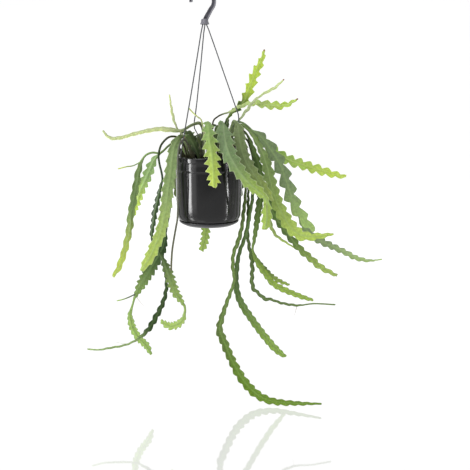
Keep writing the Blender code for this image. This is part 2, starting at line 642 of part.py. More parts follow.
stem("stem_left_wiry", (-34, -36), [
    (-40, -42, 20, 0), (-48, -52, 38, 0), (-56, -61, 34, 0), (-61, -66, 14, 0), (-63, -67, -12, 0),
    (-63, -67, -60, 0), (-64, -64, -100, 0), (-66, -58, -130, 0), (-71, -50, -155, 0), (-79, -44, -198, 0),
    (-82, -42, -229, 0), (-83, -40, -250, 0),
], FRONT, dark_green, stalk=2.1)

stem("stem_left_forked", (-54, -2), [
    (-60, -3, 8, 0), (-68, -5, 24, 0), (-78, -8, 28, 0), (-88, -11, 22, 0), (-104, -16, 8, 0),
    (-121, -20, 9, 0), (-133, -24, 5, 1), (-141, -26, -3, 3), (-146, -28, -13, 6), (-150, -29, -26, 9),
    (-154, -30, -41, 10), (-157, -32, -58, 11), (-161, -35, -79, 11), (-165, -38, -101, 11),
    (-169, -40, -122, 11), (-171, -45, -144, 11), (-174, -50, -165, 10), (-179, -55, -186, 10),
    (-185, -60, -209, 10), (-194, -65, -234, 9), (-207, -70, -256, 4),
], (0.7, -0.7, 0.0), mid_green, pitches=(24, 25), valley=0.62, side_stems=[
    ([
        (-99, -14, 12, 0), (-108, -9, 4, 3), (-118, -6, -6, 8), (-126, -4, -21, 12), (-134, 0, -39, 13),
        (-142, 4, -55, 13), (-152, 8, -75, 13), (-159, 12, -93, 12), (-166, 17, -111, 11),
        (-173, 22, -130, 8), (-179, 26, -150, 1),
    ], FRONT, STALK_RADIUS, (21, 12)),
    ([
        (-144, -27, -9, 0), (-161, -33, -18, 0), (-176, -40, -20, 0), (-193, -48, -24, 0),
    ], FRONT, 1.3, TOOTH_PITCHES),
])

stem("stem_left_winding", (-46, -12), [
    (-52, -13, 20, 0), (-60, -16, 36, 0), (-70, -19, 43, 0), (-83, -22, 43, 0), (-93, -24, 36, 0),
    (-101, -26, 26, 0), (-105, -28, 15, 0), (-107, -30, 2, 0), (-105, -32, -15, 0), (-101, -34, -32, 0),
    (-99, -36, -48, 2), (-103, -36, -64, 5), (-108, -36, -84, 7), (-112, -36, -102, 8),
    (-117, -36, -121, 8), (-120, -36, -141, 7), (-124, -36, -161, 6), (-124, -34, -179, 4),
    (-117, -30, -200, 3), (-106, -26, -219, 5), (-98, -24, -238, 11), (-90, -24, -259, 14),
    (-83, -24, -282, 14), (-76, -24, -302, 13), (-66, -24, -319, 9), (-57, -24, -334, 4),
    (-55, -22, -350, 4), (-60, -18, -368, 8), (-72, -14, -381, 11), (-87, -10, -387, 11),
    (-101, -8, -383, 9), (-112, -6, -374, 3),
], (-0.3, -0.95, 0.0), old_green, pitches=(20, 10))

stem("stem_left_dark", (-58, 10), [
    (-63, 9, 4, 0), (-70, 6, 13, 0), (-78, 3, 11, 0), (-83, -2, -4, 0), (-84, -6, -30, 0),
    (-83, -8, -63, 0), (-84, -8, -97, 0), (-89, -10, -134, 2), (-96, -12, -163, 4), (-100, -12, -191, 9),
    (-109, -12, -215, 13), (-124, -12, -239, 15), (-139, -12, -264, 15), (-155, -7, -291, 12),
    (-170, -2, -321, 4), (-178, 6, -343, 3), (-185, 14, -364, 6), (-185, 20, -382, 9),
    (-181, 26, -404, 10), (-172, 30, -424, 10), (-161, 33, -439, 10), (-151, 36, -452, 9), (-142, 40, -475, 3),
], FRONT, dark_green, pitches=(17, 12), valley=0.6, side_stems=[
    ([
        (-165, -4, -311, 0), (-181, -5, -319, 0), (-196, -5, -325, 0), (-212, -5, -329, 0),
    ], FRONT, 1.4, TOOTH_PITCHES),
])

stem("stem_left_tail", (-52, 22), [
    (-57, 22, 4, 0), (-66, 21, 16, 0), (-77, 18, 18, 0), (-87, 13, 4, 0), (-92, 9, -30, 0),
    (-96, 7, -76, 0), (-99, 6, -121, 0), (-103, 6, -167, 0), (-106, 5, -208, 3), (-104, 4, -240, 4),
    (-100, 2, -265, 4), (-98, 0, -290, 5), (-101, -2, -315, 6), (-109, -5, -340, 7), (-120, -7, -361, 8),
    (-130, -10, -379, 8), (-141, -15, -395, 7), (-159, -19, -411, 4), (-176, -24, -421, 3),
    (-196, -30, -427, 3), (-225, -37, -430, 3), (-249, -44, -432, 2), (-274, -50, -428, 0),
], FRONT, dark_green, stalk=1.8)

# Stems at the back
stem("stem_back_hanging", (8, 48), [
    (9, 58, 12, 0), (9, 68, 24, 0), (8, 79, 22, 0), (5, 87, 6, 3), (-2, 91, -28, 8), (-8, 93, -75, 11),
    (-9, 94, -123, 12), (-11, 93, -173, 12), (-13, 92, -200, 12), (-17, 92, -218, 11), (-22, 92, -233, 6),
], BACK, mid_green, pitches=(20, 12))

stem("stem_back_left", (-34, 38), [
    (-38, 50, 24, 8), (-42, 64, 42, 10), (-45, 80, 46, 11), (-52, 98, 38, 12), (-58, 118, 14, 13),
    (-60, 132, -24, 14), (-60, 138, -70, 13), (-56, 138, -118, 11), (-52, 136, -150, 1),
], BACK, mid_green)

stem("stem_back_middle", (-20, 54), [
    (-20, 60, 8, 5), (-21, 68, 32, 9), (-22, 82, 44, 11), (-24, 104, 38, 12), (-28, 128, 14, 14),
    (-30, 146, -26, 15), (-30, 156, -76, 14), (-27, 158, -126, 12), (-24, 156, -160, 1),
], BACK, old_green)

stem("stem_back_right", (26, 40), [
    (29, 52, 24, 8), (32, 66, 44, 10), (36, 84, 50, 11), (42, 106, 42, 12), (48, 128, 16, 13),
    (50, 144, -24, 14), (48, 152, -72, 13), (44, 154, -120, 11), (40, 152, -152, 1),
], BACK, mid_green)

stem("stem_back_far_right", (38, 42), [
    (44, 50, 16, 5), (52, 60, 32, 8), (60, 71, 34, 9), (68, 86, 22, 11), (73, 102, -8, 12),
    (74, 112, -50, 12), (70, 116, -94, 10), (66, 116, -128, 1),
], (0.6, 0.8, 0.0), old_green)

stem("stem_back_far_left", (-44, 32), [
    (-50, 38, 14, 5), (-58, 46, 28, 7), (-68, 58, 30, 8), (-78, 74, 18, 10), (-84, 90, -10, 12),
    (-84, 100, -52, 12), (-80, 104, -94, 10), (-76, 104, -124, 1),
], (-0.6, 0.8, 0.0), mid_green)

# Short old stems that fill the crown
stem("stem_crown_left", (-22, 16), [
    (-24, 16, 10, 5), (-30, 17, 30, 9), (-40, 18, 46, 9), (-53, 20, 52, 6), (-64, 24, 46, 1),
], FRONT, old_green)

stem("stem_crown_middle", (-14, 34), [
    (-14, 33, 10, 6), (-10, 30, 34, 10), (-2, 28, 54, 10), (8, 28, 64, 6), (17, 30, 66, 1),
], FRONT, dark_green)

stem("stem_crown_front", (10, -14), [
    (12, -14, 10, 5), (15, -15, 30, 9), (19, -16, 50, 9), (23, -17, 66, 5), (27, -18, 76, 1),
], FRONT, old_green)

stem("stem_crown_front_left", (-20, -30), [
    (-22, -30, 4, 5), (-28, -31, 20, 9), (-35, -32, 34, 9), (-43, -34, 42, 5), (-50, -37, 42, 1),
], FRONT, dark_green)

stem("stem_crown_right", (22, 4), [
    (25, 6, 14, 5), (30, 7, 36, 9), (36, 7, 56, 8), (41, 6, 70, 4), (44, 5, 80, 1),
], FRONT, old_green)

hole_rods = round_cutter("stem_holes", stem_spots, STEM_HOLE_RADIUS, SOIL_HEIGHT + 4.0,
                         STEM_HOLE_DEPTH + 4.0, STEM_HOLE_SIDES)
cut(soil, hole_rods)
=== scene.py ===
"""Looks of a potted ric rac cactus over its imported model.

A hanging pot of near-black plastic with a clip-on saucer, a grey hook with three strands, and
thirty-four flat, toothed stems that stand in the soil, arch over the rim and hang.
"""

import math
import random

import bpy
from mathutils import Euler, Matrix, Vector


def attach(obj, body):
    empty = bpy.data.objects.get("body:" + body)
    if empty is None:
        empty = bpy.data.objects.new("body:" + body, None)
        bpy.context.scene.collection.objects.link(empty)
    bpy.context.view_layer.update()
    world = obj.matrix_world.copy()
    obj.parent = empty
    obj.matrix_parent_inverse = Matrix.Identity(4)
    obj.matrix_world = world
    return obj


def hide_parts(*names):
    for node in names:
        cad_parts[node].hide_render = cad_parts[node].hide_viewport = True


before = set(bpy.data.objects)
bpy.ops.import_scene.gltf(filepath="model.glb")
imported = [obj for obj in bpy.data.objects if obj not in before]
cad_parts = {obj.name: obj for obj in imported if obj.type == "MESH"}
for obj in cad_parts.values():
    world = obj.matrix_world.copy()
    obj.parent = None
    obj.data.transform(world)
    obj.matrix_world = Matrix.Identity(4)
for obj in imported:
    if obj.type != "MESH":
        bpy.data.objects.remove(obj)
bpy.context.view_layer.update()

# Pot
# The nursery pot is injection-moulded polypropylene, near black and glossy from its polished mould.
# It has a rim band with a step under it, a lip inside that takes the strands, and a foot ring.
MM = 0.001
RIM_CENTRE = Vector((10.0, 0.0, -345.0))
POT_SIDES = 144
POT_OUTLINE = [
    (46.0, -142.8), (46.2, -149.5), (46.5, -149.9), (47.7, -149.9), (48.0, -149.5), (48.0, -144.2),
    (48.8, -143.5), (57.0, -143.5), (60.0, -143.2), (62.8, -142.2), (65.0, -140.7), (66.8, -138.7),
    (68.3, -136.2), (69.4, -133.5), (70.2, -130.4), (70.7, -126.0), (71.3, -115.0), (72.0, -100.0),
    (72.5, -85.0), (72.6, -60.0), (72.6, -34.0), (72.6, -28.8), (72.9, -28.4), (72.9, -28.0),
    (72.8, -20.0), (72.8, -11.4), (73.0, -10.8), (73.6, -10.5), (74.5, -10.5), (74.9, -10.2),
    (75.0, -9.6), (75.0, -5.0), (75.0, -2.2), (74.8, -1.2), (74.2, -0.5), (73.3, -0.1),
    (72.4, 0.0), (66.0, 0.0), (65.3, -0.2), (65.0, -0.7), (65.0, -1.8), (65.4, -2.2),
    (70.0, -2.2), (70.6, -2.8), (70.6, -27.0), (70.7, -85.0), (67.9, -129.0), (61.6, -138.3),
    (55.0, -140.4), (20.0, -140.6),
]
DRAIN_ANGLES = (45, 135, 225, 315)
DRAIN_CIRCLE = 30.0
DRAIN_RADIUS = 4.5
STRAND_CIRCLE = 68.0
STRAND_HOLE_RADIUS = 1.7
DRILL_SIDES = 24
STRAND_SPOTS = {"strand_left": 210.0, "strand_right": 330.0, "strand_back": 90.0}


def place(x, y, z):
    """A place in the frame's metres, from millimetres measured from the middle of the pot's rim."""
    return (RIM_CENTRE + Vector((x, y, z))) * MM


def round_spot(radius, degrees):
    """A spot at a radius and an angle round the pot."""
    return radius * math.cos(math.radians(degrees)), radius * math.sin(math.radians(degrees))


def edit_all():
    """Go into edit mode on the piece in hand with all of it selected."""
    bpy.ops.object.mode_set(mode="EDIT")
    bpy.ops.mesh.select_all(action="SELECT")


def settle(piece, smooth_under=40.0):
    """Turn the faces outwards, shade the piece smooth and leave its place in its mesh."""
    bpy.ops.object.select_all(action="DESELECT")
    piece.select_set(True)
    bpy.context.view_layer.objects.active = piece
    edit_all()
    bpy.ops.mesh.normals_make_consistent(inside=False)
    bpy.ops.object.mode_set(mode="OBJECT")
    bpy.ops.object.transform_apply(location=True, rotation=True, scale=True)
    bpy.ops.object.shade_smooth_by_angle(angle=math.radians(smooth_under))


def draw_round(name, sides, outline, centre=(0.0, 0.0, 0.0)):
    """A round piece drawn from a disc: each step moves its face to a height and sizes it to a radius."""
    x, y, z = centre
    radius, height = outline[0]
    bpy.ops.object.select_all(action="DESELECT")
    bpy.ops.mesh.primitive_circle_add(vertices=sides, radius=radius * MM, fill_type="NGON",
                                      location=place(x, y, z + height))
    piece = bpy.context.object
    piece.name = name
    edit_all()
    for next_radius, next_height in outline[1:]:
        lift = (0.0, 0.0, (next_height - height) * MM)
        share = next_radius / radius
        bpy.ops.mesh.extrude_region_move(TRANSFORM_OT_translate={"value": lift})
        bpy.ops.transform.resize(value=(share, share, 1.0), center_override=place(x, y, z + next_height))
        radius, height = next_radius, next_height
    bpy.ops.object.mode_set(mode="OBJECT")
    settle(piece)
    return piece


def drill(piece, spots, radius, top, depth):
    """Round holes straight down through a piece."""
    for x, y in spots:
        bpy.ops.object.select_all(action="DESELECT")
        bpy.ops.mesh.primitive_cylinder_add(vertices=DRILL_SIDES, radius=radius * MM, depth=depth * MM,
                                            location=place(x, y, top - depth / 2))
        rod = bpy.context.object
        hole = piece.modifiers.new("hole", "BOOLEAN")
        hole.operation = "DIFFERENCE"
        hole.object = rod
        bpy.context.view_layer.objects.active = piece
        bpy.ops.object.modifier_apply(modifier=hole.name)
        bpy.data.objects.remove(rod, do_unlink=True)


def linear(colour):
    """An sRGB hex colour as the linear values that a shader takes."""
    channels = [int(colour[i:i + 2], 16) / 255 for i in (1, 3, 5)]
    return [c / 12.92 if c <= 0.04045 else ((c + 0.055) / 1.055) ** 2.4 for c in channels] + [1.0]


def finish(name):
    """A new material without nodes, and its node tree."""
    material = bpy.data.materials.new(name)
    material.use_nodes = True
    material.node_tree.nodes.clear()
    return material, material.node_tree


def node(tree, kind, inputs=None, stops=(), **settings):
    """Add a node with its settings, its ramp's colours, and its inputs as values or (node, output)."""
    added = tree.nodes.new(kind)
    for name, value in settings.items():
        setattr(added, name, value)
    for i, (position, colour) in enumerate(stops):
        if i >= len(added.color_ramp.elements):
            added.color_ramp.elements.new(position)
        added.color_ramp.elements[i].position = position
        added.color_ramp.elements[i].color = linear(colour)
    for name, value in (inputs or {}).items():
        if isinstance(value, tuple) and isinstance(value[0], bpy.types.Node):
            tree.links.new(value[0].outputs[value[1]], added.inputs[name])
        else:
            added.inputs[name].default_value = value
    return added


def noise(tree, spread, scale, detail, **more):
    """Noise spread over the given coordinates."""
    return node(tree, "ShaderNodeTexNoise", {"Vector": spread, "Scale": scale, "Detail": detail, **more})


def ramp(tree, pattern, stops):
    """The colours that a pattern's value picks."""
    return node(tree, "ShaderNodeValToRGB", {"Fac": (pattern, "Fac")}, stops)


def remap(tree, source, low, high, from_low=0.0, from_high=1.0):
    """A value carried over from one range to another."""
    return node(tree, "ShaderNodeMapRange", {"Value": source, "From Min": from_low, "From Max": from_high,
                                             "To Min": low, "To Max": high})


def bump(tree, height, strength, distance, **more):
    """Relief as tall as the distance in metres."""
    inputs = {"Height": height, "Strength": strength, "Distance": distance, **more}
    return node(tree, "ShaderNodeBump", inputs)


def surface(tree, inputs):
    """The material's surface, a principled shader with these inputs."""
    shader = node(tree, "ShaderNodeBsdfPrincipled", inputs)
    node(tree, "ShaderNodeOutputMaterial", {"Surface": (shader, "BSDF")})


def mottled(name, scale, detail, stops, **inputs):
    """A plain finish in patches of two tones."""
    material, tree = finish(name)
    here = node(tree, "ShaderNodeTexCoord")
    tone = noise(tree, (here, "Object"), scale, detail)
    surface(tree, {"Base Color": (ramp(tree, tone, stops), "Color"), **inputs})
    return material


# Glossy black polypropylene from a polished mould: the gloss is even, with hairline scuffs drawn up and
# down, a trace of dust from the nursery, and sink marks about 20 mm wide that bend the reflections a little.
# The scuffs are drawn 3 mm wide, coarser than real ones, so that they show.
pot_plastic, tree = finish("glossy_moulded_polypropylene")
here = node(tree, "ShaderNodeTexCoord")
upright = node(tree, "ShaderNodeMapping", {"Vector": (here, "Object"), "Scale": (1.0, 1.0, 0.06)})
scuffs = noise(tree, (upright, "Vector"), 330.0, 5.0, Roughness=0.7)
dust = noise(tree, (here, "Object"), 32.0, 7.0, Roughness=0.7)
sinks = noise(tree, (here, "Object"), 48.0, 1.0)
black = ramp(tree, dust, [(0.4, "#070708"), (0.8, "#121213")])
gloss = remap(tree, (scuffs, "Fac"), 0.1, 0.24, 0.35, 0.75)
relief = bump(tree, (sinks, "Fac"), 0.25, 0.0004)
surface(tree, {
    "Base Color": (black, "Color"), "IOR": 1.49, "Roughness": (gloss, "Result"),
    "Normal": (relief, "Normal")})

pot = draw_round("moulded_pot", POT_SIDES, POT_OUTLINE)
drill(pot, [round_spot(DRAIN_CIRCLE, angle) for angle in DRAIN_ANGLES], DRAIN_RADIUS, -132.0, 14.0)
drill(pot, [round_spot(STRAND_CIRCLE, angle) for angle in STRAND_SPOTS.values()], STRAND_HOLE_RADIUS,
      2.0, 6.0)
pot.data.materials.append(pot_plastic)
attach(pot, "root")
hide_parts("pot")

# Saucer
# A shallow dish of thinner, satin polypropylene that snaps under the pot. Its rim stands just clear of
# the pot's heel and shows as a dark line, and its sloping side takes light from below.
SAUCER_OUTLINE = [
    (40.0, -152.0), (51.5, -152.0), (53.0, -151.8), (54.5, -151.2), (58.0, -149.6), (61.5, -147.8),
    (64.0, -146.2), (65.5, -144.9), (66.1, -143.6), (66.5, -142.8), (66.5, -141.9), (66.3, -141.6),
    (65.0, -141.6), (64.7, -141.8), (64.5, -143.4), (63.6, -144.4), (60.0, -146.4), (57.0, -147.8),
    (53.5, -149.6), (51.5, -150.2), (20.0, -150.2),
]
# Satin moulded polypropylene, dark grey: a broad soft sheen and fine grain from the textured mould,
# drawn 1.2 mm wide where the real grain is a tenth of that.
saucer_plastic, tree = finish("satin_moulded_polypropylene")
here = node(tree, "ShaderNodeTexCoord")
grain = noise(tree, (here, "Object"), 820.0, 3.0)
cloud = noise(tree, (here, "Object"), 40.0, 5.0)
grey = ramp(tree, cloud, [(0.35, "#2a2a2d"), (0.7, "#363639")])
gloss = remap(tree, (cloud, "Fac"), 0.3, 0.42)
relief = bump(tree, (grain, "Fac"), 0.2, 0.0001)
surface(tree, {
    "Base Color": (grey, "Color"), "IOR": 1.49, "Roughness": (gloss, "Result"),
    "Normal": (relief, "Normal")})

saucer = draw_round("moulded_saucer", POT_SIDES, SAUCER_OUTLINE)
saucer.data.materials.append(saucer_plastic)
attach(saucer, "root")
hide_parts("saucer")

# Soil
# Moist potting peat, filled to a finger's width below the rim. Its top is level and lumpy.
SOIL_OUTLINE = [(54.0, -139.5), (67.3, -129.3), (70.3, -85.0), (70.3, -28.0), (70.3, -19.5)]
SOIL_RINGS = 27
SOIL_SIDES = 96
SOIL_TOP = -18.0
SOIL_RADIUS = 70.3
LUMP_SIZE = 0.011
LUMP_HEIGHT = 0.005

# Peat: dark brown fibres and crumbs 1 to 4 mm across, matt all over and darker where it is moist.
peat, tree = finish("moist_potting_peat")
here = node(tree, "ShaderNodeTexCoord")
crumbs = noise(tree, (here, "Object"), 320.0, 8.0, Roughness=0.75)
cells = node(tree, "ShaderNodeTexVoronoi", {"Vector": (here, "Object"), "Scale": 420.0})
brown = ramp(tree, crumbs, [(0.3, "#120b07"), (0.5, "#2a1b11"), (0.64, "#473222"), (0.8, "#6d5440")])
relief = bump(tree, (cells, "Distance"), 0.8, 0.001)
surface(tree, {"Base Color": (brown, "Color"), "Roughness": 0.93, "Normal": (relief, "Normal")})

ring_steps = [(SOIL_RADIUS * (1.0 - i / SOIL_RINGS) + 0.6, SOIL_TOP) for i in range(1, SOIL_RINGS + 1)]
soil = draw_round("peat_soil", SOIL_SIDES, SOIL_OUTLINE + [(69.6, SOIL_TOP)] + ring_steps)
soil.data.materials.append(peat)
lumps = bpy.data.textures.new("soil_lumps", "CLOUDS")
lumps.noise_scale = LUMP_SIZE
lumps.noise_depth = 3
top_rows = soil.vertex_groups.new(name="top")
level = place(0.0, 0.0, SOIL_TOP).z
top_rows.add([v.index for v in soil.data.vertices if abs(v.co.z - level) < 0.0002], 1.0, "REPLACE")
heave = soil.modifiers.new("lumps", "DISPLACE")
heave.texture = lumps
heave.texture_coords = "LOCAL"
heave.direction = "Z"
heave.strength = LUMP_HEIGHT
heave.mid_level = 0.5
heave.vertex_group = "top"
bpy.context.view_layer.objects.active = soil
bpy.ops.object.modifier_apply(modifier=heave.name)
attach(soil, "root")
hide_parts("soil")

# Hook
# One moulded piece: an H-shaped bar that makes a question mark, and a bell-shaped collar with a socket
# for each strand. It is satin grey plastic with rounded edges.
HOOK_TOP = Vector((-10.0, 0.0, 345.0))
LOOP_RADIUS = 23.6
BAR_WIDTH = 9.2
BAR_THICKNESS = 7.0
FLANGE = 2.1
GROOVE_DEPTH = 1.9
# The groove sits this far to the left, so the flange is wider on the outside of the loop's right side
GROOVE_SHIFT = 1.0
LOOP_TIP = 184.0
LOOP_END = -27.0
LOOP_STEPS = 44
# The bar grows from this share of its width at the tip to the whole, and the tip opens out a little
TIP_WIDTH = 0.72
TIP_GROWTH = 0.28
TIP_FLARE = 1.5
EDGE_ROUNDING = 0.45
COLLAR_SIDES = 48
SOCKET_CIRCLE = 5.0
SOCKET_DEPTH = 7.0
# From the loop down to the collar: across and up in millimetres, the bar's lean, its share of the width
SHANK = [(6.8, 309.6, -31.0, 1.04), (3.2, 303.0, -31.0, 1.08), (-0.6, 296.8, -28.0, 1.12),
         (-3.6, 291.0, -18.0, 1.14), (-5.8, 284.5, -4.0, 1.1)]
COLLAR_PLACE = (-6.4, 0.0, 279.0)
COLLAR_OUTLINE = [
    (6.6, 1.6), (7.4, 0.0), (9.4, 0.0), (9.8, 0.4), (9.8, 1.3), (9.4, 2.0), (8.5, 3.8), (7.9, 5.6),
    (7.6, 8.0), (7.2, 10.0), (6.4, 10.9), (3.0, 11.0),
]

# Satin moulded grey plastic: even colour, a soft sheen, and a faint grain 1 mm wide so that it shows.
hook_plastic, tree = finish("satin_grey_moulded_plastic")
here = node(tree, "ShaderNodeTexCoord")
cloud = noise(tree, (here, "Object"), 90.0, 5.0)
grain = noise(tree, (here, "Object"), 1000.0, 2.0)
grey = ramp(tree, cloud, [(0.35, "#6f6e76"), (0.7, "#7d7c84")])
gloss = remap(tree, (cloud, "Fac"), 0.32, 0.46)
relief = bump(tree, (grain, "Fac"), 0.15, 0.0001)
surface(tree, {
    "Base Color": (grey, "Color"), "IOR": 1.5, "Roughness": (gloss, "Result"),
    "Normal": (relief, "Normal")})
# The groove's floor is painted a darker grey as painted shade for the shadow in the channel, and it is left
# rough by the mould
groove_painted_shade = mottled("mould_groove_with_painted_shade", 160.0, 5.0, [(0.3, "#3a3a42"), (0.7, "#55555d")],
                         Roughness=0.8, IOR=1.49)

loop_centre = HOOK_TOP - Vector((0.0, 0.0, LOOP_RADIUS - BAR_WIDTH / 2))
bar_places = []
for i in range(LOOP_STEPS + 1):
    share = i / LOOP_STEPS
    angle = LOOP_TIP + (LOOP_END - LOOP_TIP) * share
    reach = LOOP_RADIUS + TIP_FLARE * max(0.0, 1.0 - share * 5.0)
    around = Vector((math.cos(math.radians(angle)), 0.0, math.sin(math.radians(angle)))) * reach
    widening = TIP_WIDTH + TIP_GROWTH * min(1.0, share * 2.5)
    bar_places.append((loop_centre.x + around.x, loop_centre.z + around.z, angle, widening))
bar_places += SHANK
x, z, angle, width = bar_places[0]
bpy.ops.object.select_all(action="DESELECT")
bpy.ops.mesh.primitive_plane_add(size=1.0, location=place(x, 0.0, z),
                                 rotation=(0.0, math.radians(-angle), 0.0))
hook = bpy.context.object
hook.name = "moulded_hook"
hook.scale = (BAR_WIDTH * width * MM, BAR_THICKNESS * MM, 1.0)
bpy.ops.object.transform_apply(location=True, rotation=True, scale=True)
edit_all()
for next_x, next_z, next_angle, next_width in bar_places[1:]:
    spot = place(next_x, 0.0, next_z)
    bpy.ops.mesh.extrude_region_move(TRANSFORM_OT_translate={"value": spot - place(x, 0.0, z)})
    bpy.ops.transform.rotate(value=math.radians(next_angle - angle), orient_axis="Y", center_override=spot)
    bpy.ops.transform.resize(value=(next_width / width, 1.0, next_width / width), center_override=spot)
    x, z, angle, width = next_x, next_z, next_angle, next_width
bpy.ops.mesh.select_all(action="SELECT")
bpy.ops.mesh.normals_make_consistent(inside=False)
bpy.ops.mesh.select_mode(type="FACE")
bpy.ops.mesh.select_all(action="DESELECT")
bpy.ops.object.mode_set(mode="OBJECT")
for face in hook.data.polygons:
    face.select = abs(face.normal.y) > 0.9
bpy.ops.object.mode_set(mode="EDIT")
bpy.ops.mesh.inset(thickness=FLANGE * MM, depth=-GROOVE_DEPTH * MM)
bpy.ops.transform.translate(value=(-GROOVE_SHIFT * MM, 0.0, 0.0))
hook.data.materials.append(hook_plastic)
hook.data.materials.append(groove_painted_shade)
# The groove's faces take the second material, which is painted darker as painted shade
hook.active_material_index = 1
bpy.ops.object.material_slot_assign()
bpy.ops.mesh.select_mode(type="VERT")
bpy.ops.object.mode_set(mode="OBJECT")
rounding = hook.modifiers.new("rounded_edges", "BEVEL")
rounding.width = EDGE_ROUNDING * MM
rounding.segments = 2
bpy.ops.object.modifier_apply(modifier=rounding.name)

collar = draw_round("collar", COLLAR_SIDES, COLLAR_OUTLINE, COLLAR_PLACE)
collar.data.materials.append(hook_plastic)
SOCKET_SPOTS = {}
for strand_name, strand_angle in STRAND_SPOTS.items():
    spot_x, spot_y = round_spot(SOCKET_CIRCLE, strand_angle)
    SOCKET_SPOTS[strand_name] = (COLLAR_PLACE[0] + spot_x, COLLAR_PLACE[1] + spot_y)
moulded = hook.modifiers.new("moulded_on", "BOOLEAN")
moulded.operation = "UNION"
moulded.object = collar
bpy.context.view_layer.objects.active = hook
bpy.ops.object.modifier_apply(modifier=moulded.name)
bpy.data.objects.remove(collar, do_unlink=True)
drill(hook, SOCKET_SPOTS.values(), STRAND_HOLE_RADIUS, COLLAR_PLACE[2] + SOCKET_DEPTH, SOCKET_DEPTH + 2.0)
settle(hook, 35.0)
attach(hook, "root")
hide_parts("hook")

# Strands
# Three stiff rods of drawn polypropylene, 2.7 mm thick, pushed into the collar. Each one goes through a
# hole in the rim's lip and ends in a knob below it. The crown of the plant pushes two of them aside.
STRAND_RADIUS = 1.35
ROD_SIDES = 16
# Heights and radii of the end in the collar, and of the knob under the lip
STRAND_TOP = [(285.7, 1.0), (285.3, STRAND_RADIUS), (277.0, STRAND_RADIUS)]
STRAND_KNOB = [(4.0, STRAND_RADIUS), (-2.45, STRAND_RADIUS), (-2.5, 2.1), (-2.8, 2.3), (-5.2, 2.3),
               (-6.6, 2.0), (-7.5, 1.4)]
STRAND_COURSES = {
    "strand_left": [(-14, -5, 262), (-22, -10, 214), (-37, -20, 127), (-50, -28, 55)],
    "strand_right": [(2, -5, 268), (16, -8, 229), (40, -15, 161), (52, -18, 127), (58, -20, 110),
                     (62, -22, 100), (65, -23, 91), (66, -25, 82), (65, -26, 66), (62, -30, 34)],
    "strand_back": [(-9, 8, 262), (-16, 19, 200), (-26, 34, 120), (-31, 42, 86), (-33, 44, 76), (-34, 46, 66),
                    (-33, 48, 58), (-29, 50, 50), (-18, 57, 30), (-7, 64, 13)],
}

# Drawn polypropylene: dark grey, satin, with lengthwise drawing marks 2 mm wide, coarser than real ones.
drawn_plastic, tree = finish("drawn_polypropylene_rod")
here = node(tree, "ShaderNodeTexCoord")
upright = node(tree, "ShaderNodeMapping", {"Vector": (here, "Object"), "Scale": (1.0, 1.0, 0.08)})
marks = noise(tree, (upright, "Vector"), 500.0, 3.0)
grey = ramp(tree, marks, [(0.3, "#46484c"), (0.7, "#545658")])
gloss = remap(tree, (marks, "Fac"), 0.3, 0.45)
relief = bump(tree, (marks, "Fac"), 0.2, 0.0001)
surface(tree, {
    "Base Color": (grey, "Color"), "IOR": 1.49, "Roughness": (gloss, "Result"),
    "Normal": (relief, "Normal")})


def draw_rod(name, sides, places):
    """A round rod drawn from a disc through places in millimetres, each with the radius there."""
    x, y, z, radius = places[0]
    bpy.ops.object.select_all(action="DESELECT")
    bpy.ops.mesh.primitive_circle_add(vertices=sides, radius=radius * MM, fill_type="NGON",
                                      location=place(x, y, z))
    rod = bpy.context.object
    rod.name = name
    edit_all()
    for next_x, next_y, next_z, next_radius in places[1:]:
        spot = place(next_x, next_y, next_z)
        bpy.ops.mesh.extrude_region_move(TRANSFORM_OT_translate={"value": spot - place(x, y, z)})
        bpy.ops.transform.resize(value=(next_radius / radius,) * 3, center_override=spot)
        x, y, z, radius = next_x, next_y, next_z, next_radius
    bpy.ops.object.mode_set(mode="OBJECT")
    settle(rod)
    return rod


for strand_name, course in STRAND_COURSES.items():
    top_x, top_y = SOCKET_SPOTS[strand_name]
    low_x, low_y = round_spot(STRAND_CIRCLE, STRAND_SPOTS[strand_name])
    places = [(top_x, top_y, *step) for step in STRAND_TOP]
    places += [(*spot, STRAND_RADIUS) for spot in course]
    places += [(low_x, low_y, *step) for step in STRAND_KNOB]
    strand = draw_rod(strand_name + "_rod", ROD_SIDES, places)
    strand.data.materials.append(drawn_plastic)
    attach(strand, "root")
    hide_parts(strand_name)

# Stems
# Each stem of the plant is one leafless, flattened stem: a round woody stalk out of the soil, then a
# blade 1.2 mm thin at the margin with a round midrib. Both margins are cut into teeth or lobes that
# stand in turn on the two sides, and a low ridge runs from the midrib out to every notch.
FRONT = (0.0, -1.0, 0.15)
BACK = (0.0, 1.0, 0.1)
STALK_RADIUS = 2.3
COURSE_STEP = 3.0
FACE_PULL = 0.35
TOOTH_LEAN = 3.0
MARGIN = 0.6
RIB_REACH = 2.9
TIP_ROUNDING = 3.0
RINGS_PER_TOOTH = 16
VARIED_TEETH = 90
# In half widths against the stalk's radius: teeth begin at the first, and the stalk turns into a blade
# between the other two
TOOTHED_FROM = 1.5
BLADE_FROM = 0.9
FULL_BLADE_FROM = 2.2
# The marks on a bare stalk stand close at its foot and wider apart from the third one on
CLOSE_MARKS = 11.9
WIDE_MARKS = 17.0
# Half the midrib's thickness as a share of the stalk's radius
RIB_SHARE = 0.92
# The ridge to each notch: its height in millimetres, its half width and slant in turns of a tooth
RIDGE_HEIGHT = 0.4
RIDGE_WIDTH = 0.06
RIDGE_SLANT = 0.22
# Slopes by which a blade waves and a single tooth tilts out of the flat
WAVE = 0.035
TILT = 0.02
# Half widths in millimetres of the coloured lines along the midrib and the margin
RIB_LINE = 1.5
RIM_LINE = 0.75
# Millimetres of stem to one unit of its UV map
MAP_UNIT = 100.0
STALK_RING_STEP = 3.5
ROOT_HEIGHTS = [-34.7, -22.0, -10.0]
ACROSS = [-1.0, -0.95, -0.86, -0.7, -0.5, -0.32, -0.16, 0.0, 0.16, 0.32, 0.5, 0.7, 0.86, 0.95, 1.0]


def coarse_tooth(turn):
    """A forward-leaning lobe with a rounded point and a sharp notch half a turn away."""
    return 1.0 - (2.0 * abs(turn - round(turn))) ** 1.5


